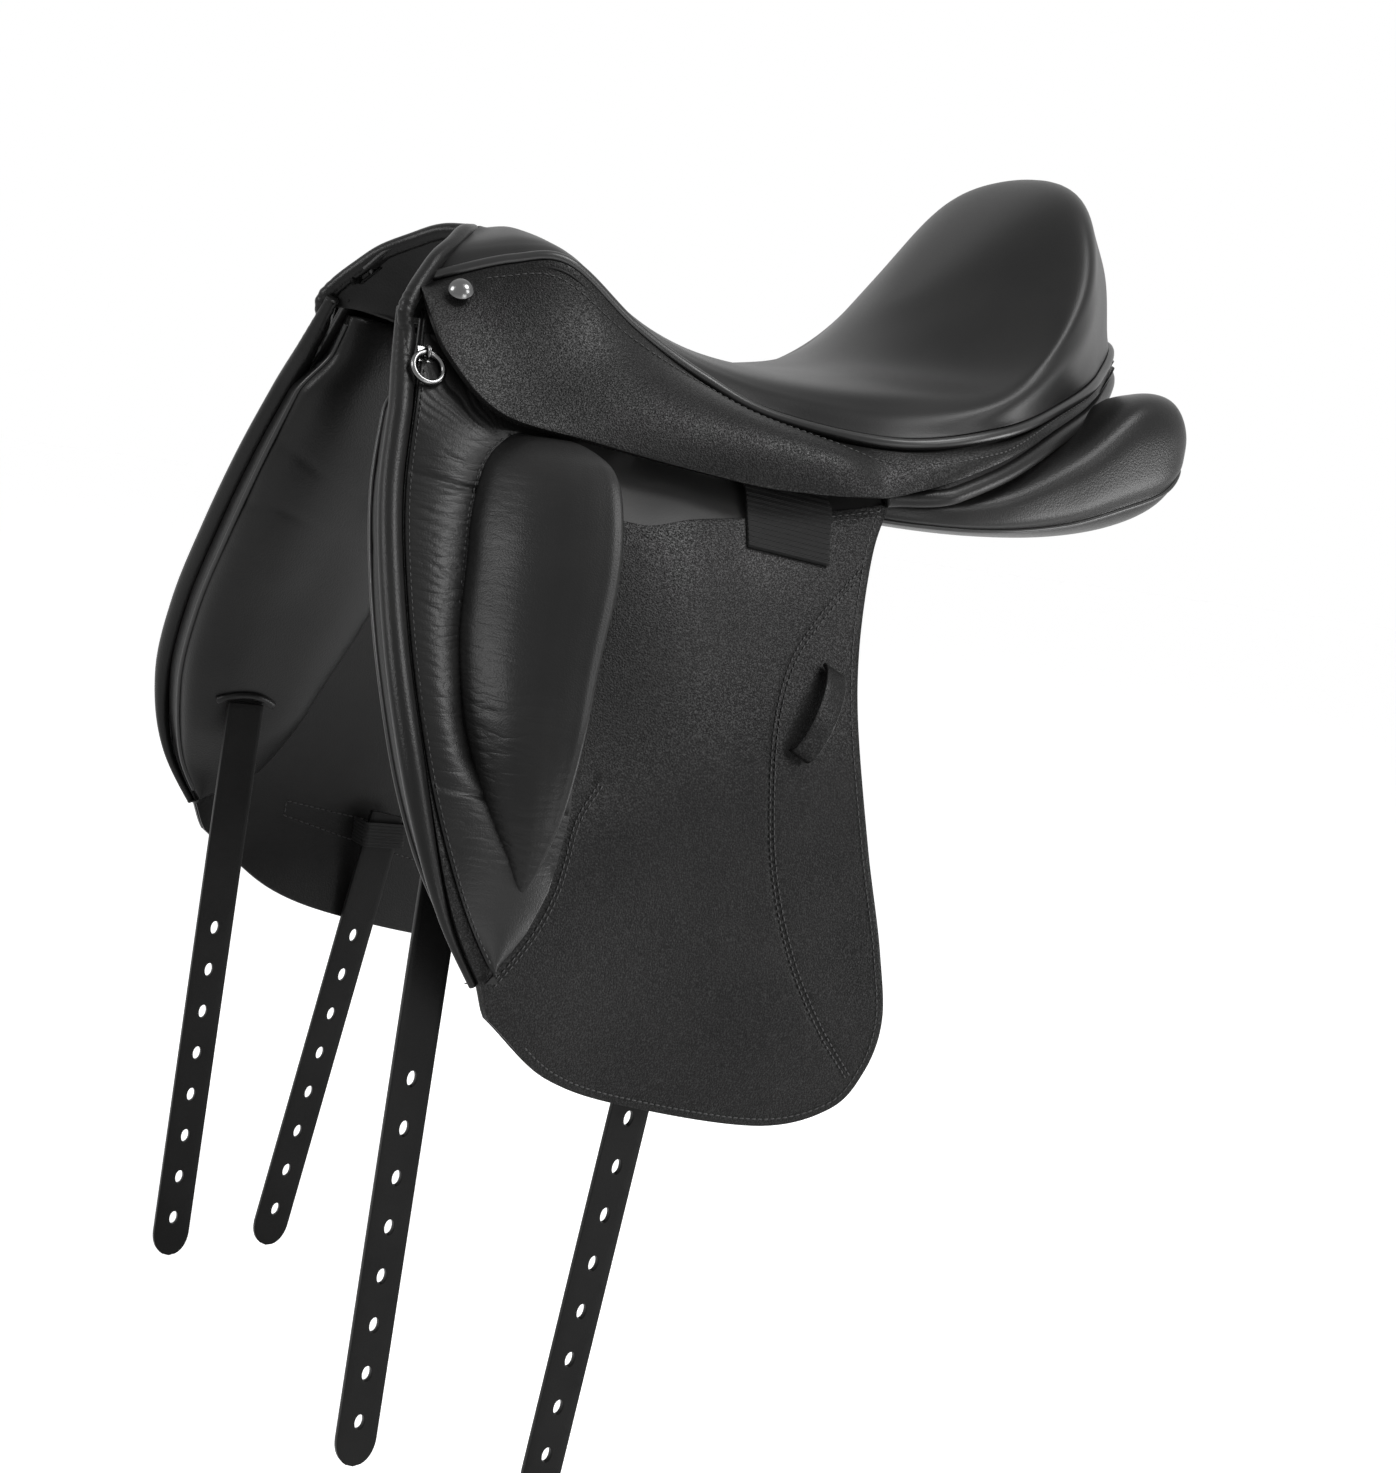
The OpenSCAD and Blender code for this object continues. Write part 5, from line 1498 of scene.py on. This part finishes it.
# %% Billets
FRONT_SLOT, REAR_SLOT = np.array([-213, 148, -176.0]), np.array([-102, 180, -240.0])
FRONT_L, REAR_L, BILLET_EDGE, LEAN = 330.0, 275.0, 0.6, {"near": 5.0, "off": 8.0}


def billet(name, place, length, lean, hand, node):
    """The flat strap, turned by its lean, moved to its slot and given its thickness."""
    p, quads = billet_flat(length)
    c, s = math.cos(math.radians(lean)), math.sin(math.radians(lean))
    x, z = p.T
    flat = np.stack([x * c + z * s, 0 * x - BILLET_T / 2, -x * s + z * c], 1)
    made = mesh_piece(name, (flat + place) * hand, quads)
    weld(made)
    made.data.update()
    facing = np.empty(3 * len(made.data.polygons))
    made.data.polygons.foreach_get("normal", facing)
    if facing[1::3].sum() * hand[1] > 0:
        made.data.flip_normals()
    thicken(made, BILLET_T, BILLET_EDGE)
    settle(made)
    return wear_it(made, [strap, edge_paint], "leather", node, body=node)


for side, hand in SIDES:
    billet(f"{side}_front_strap", FRONT_SLOT, FRONT_L, 0.0, hand, f"{side}_front_billet")
    rear_strap = billet(f"{side}_rear_strap", REAR_SLOT, REAR_L, LEAN[side], hand,
                        f"{side}_rear_billet")
print("rear billet", len(rear_strap.data.polygons), "faces")

# %% [markdown]
# Each rear billet hangs through an elastic band, which is sewn to the sweat flap. The band is a
# rounded U round the strap's face, and rides on no body.

# %% Elastic bands
BAND_T, BAND_H, BAND_DROP, BAND_ROOM, BAND_CORNER = 1.6, 15.0, 5.0, 4.0, 3.0
BAND_RIB, BAND_ROWS = 0.25, 40


def band_loop(lean):
    """Section of the band: a rounded U from the sweat flap round the strap's face."""
    side = BILLET_W / 2 + BAND_H / 2 * math.tan(math.radians(lean)) + GAP + BAND_T
    z = REAR_SLOT[2] - BAND_DROP - BAND_H
    deep = on_flap(REAR_SLOT[0], z, -PANEL_FACE)[1] - REAR_SLOT[1] - GAP
    inner = -BILLET_T / 2 - BAND_ROOM - BAND_T / 2
    a, r = np.pi / 2 - np.linspace(0, np.pi / 2, 10), BAND_CORNER
    corner = np.stack([side - r + r * np.sin(a), inner + r - r * np.cos(a)], 1)
    leg = np.stack([np.full(10, side), np.linspace(deep, inner + r, 10)], 1)
    face = np.stack([np.linspace(side - r, r - side, 20), np.full(20, inner)], 1)
    half = np.vstack([leg[:-1], corner])
    return np.vstack([half, face[1:-1], (half * [-1, 1])[::-1]])


h = np.linspace(0, 1, BAND_ROWS)[:, None]
wave = BAND_RIB * np.sin(2 * np.pi * h * BAND_H / ELASTIC_RIB)
for side, hand in SIDES:
    shift = (BAND_DROP + BAND_H / 2) * math.tan(math.radians(LEAN[side]))
    centre = REAR_SLOT - np.array([shift, 0, BAND_DROP + BAND_H])
    loop = band_loop(LEAN[side])
    out = unit(loop - np.array([0, 4.0]))
    p = np.stack([centre[0] + loop[:, 0] + wave * out[:, 0],
                  centre[1] + loop[:, 1] + wave * out[:, 1],
                  np.broadcast_to(centre[2] + h * BAND_H, (BAND_ROWS, len(loop)))], -1)
    band = cut(f"{side}_elastic_band", p * hand, BAND_T * 0.8, -OUTWARD * hand, [elastic, elastic],
               "webbing", f"{side}_billet_keeper", body=None, edge=0.3)
    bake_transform(band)
print("elastic band", len(band.data.polygons), "faces")

# %% [markdown]
# Each front billet leaves its cushion under a raised lip. It could be pulled out of the cushion's
# mesh, but that needs a much finer grid, so it is a thin roll on the cushion's face. Stitching
# frames the slit in the sweat flap, behind the band.

# %% Lips and slits
LIP_R, LIP_X, LIP_Z, LIP_BOW, LIP_LIFT = 2.2, (-229, -196), -171, 5, 0.8
SLIT = np.array([[-160, -240], [-112, -247], [-68, -257.5], [-70, -271], [-114, -261],
                 [-160, -249], [-160, -240]])
x = np.linspace(*LIP_X, 40)
z = LIP_Z - LIP_BOW * ((x + 212.5) / 16.5) ** 2
row = along(PANEL_ROWS, panel_row(z))
share = (x - panel_front(z)) / (row[:, 1] - panel_front(z))
stuffing = PANEL_T * row[:, 2] * np.interp(share, PANEL_PROFILE[::-1, 0], PANEL_PROFILE[::-1, 1])
lip = on_flap(x, z, -PANEL_FACE - stuffing - LIP_LIFT)
for side, hand in SIDES:
    wear_it(tube(f"{side}_slit_lip", lip * hand, LIP_R, UPWARD, 12), [soft], "soft_leather")
slit_line = np.concatenate([mix(a, b, np.linspace(0, 1, 30)[:-1, None])
                            for a, b in zip(SLIT[:-1], SLIT[1:])])
sew_on_flap(slit_line, -FLAP_T - GAP - SWEAT_T, face=-1.0)
print("lip", round(float(np.ptp(x))), "mm wide")

# %% [markdown]
# Stitching was collected while the pieces were made, and becomes one mesh to a side. Metal pieces
# stay as they came from the frame, since their solids are exact, and get their finishes here.

# %% Stitching and metal
metal = {"gullet_plate": steel, "gullet_screws": steel, "bar_rivets": steel}
for side, _ in SIDES:
    wear_it(seams[side].piece(f"{side}_stitching"), [thread], "leather")
    metal |= {f"{side}_{node}": steel for node in ("stirrup_bar", "bar_catch", "catch_pin")}
    metal |= {f"{side}_{node}": nickel for node in ("stud", "ring_staple", "dee_ring")}
for node, finish in metal.items():
    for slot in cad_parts[node].material_slots:
        slot.material = finish
print("stitches", seams["near"].count // len(STITCH), "a side; metal nodes", len(metal))

# %% [markdown]
# Dressing a saddle adds a little to it, such as the pile of a seam or the swell of a cushion, but
# must not change its size. The frame's box is written down.

# %% Sizes
bpy.context.view_layer.update()
print("cad", [round(v, 4) for v in (*cad_low, *cad_high)])
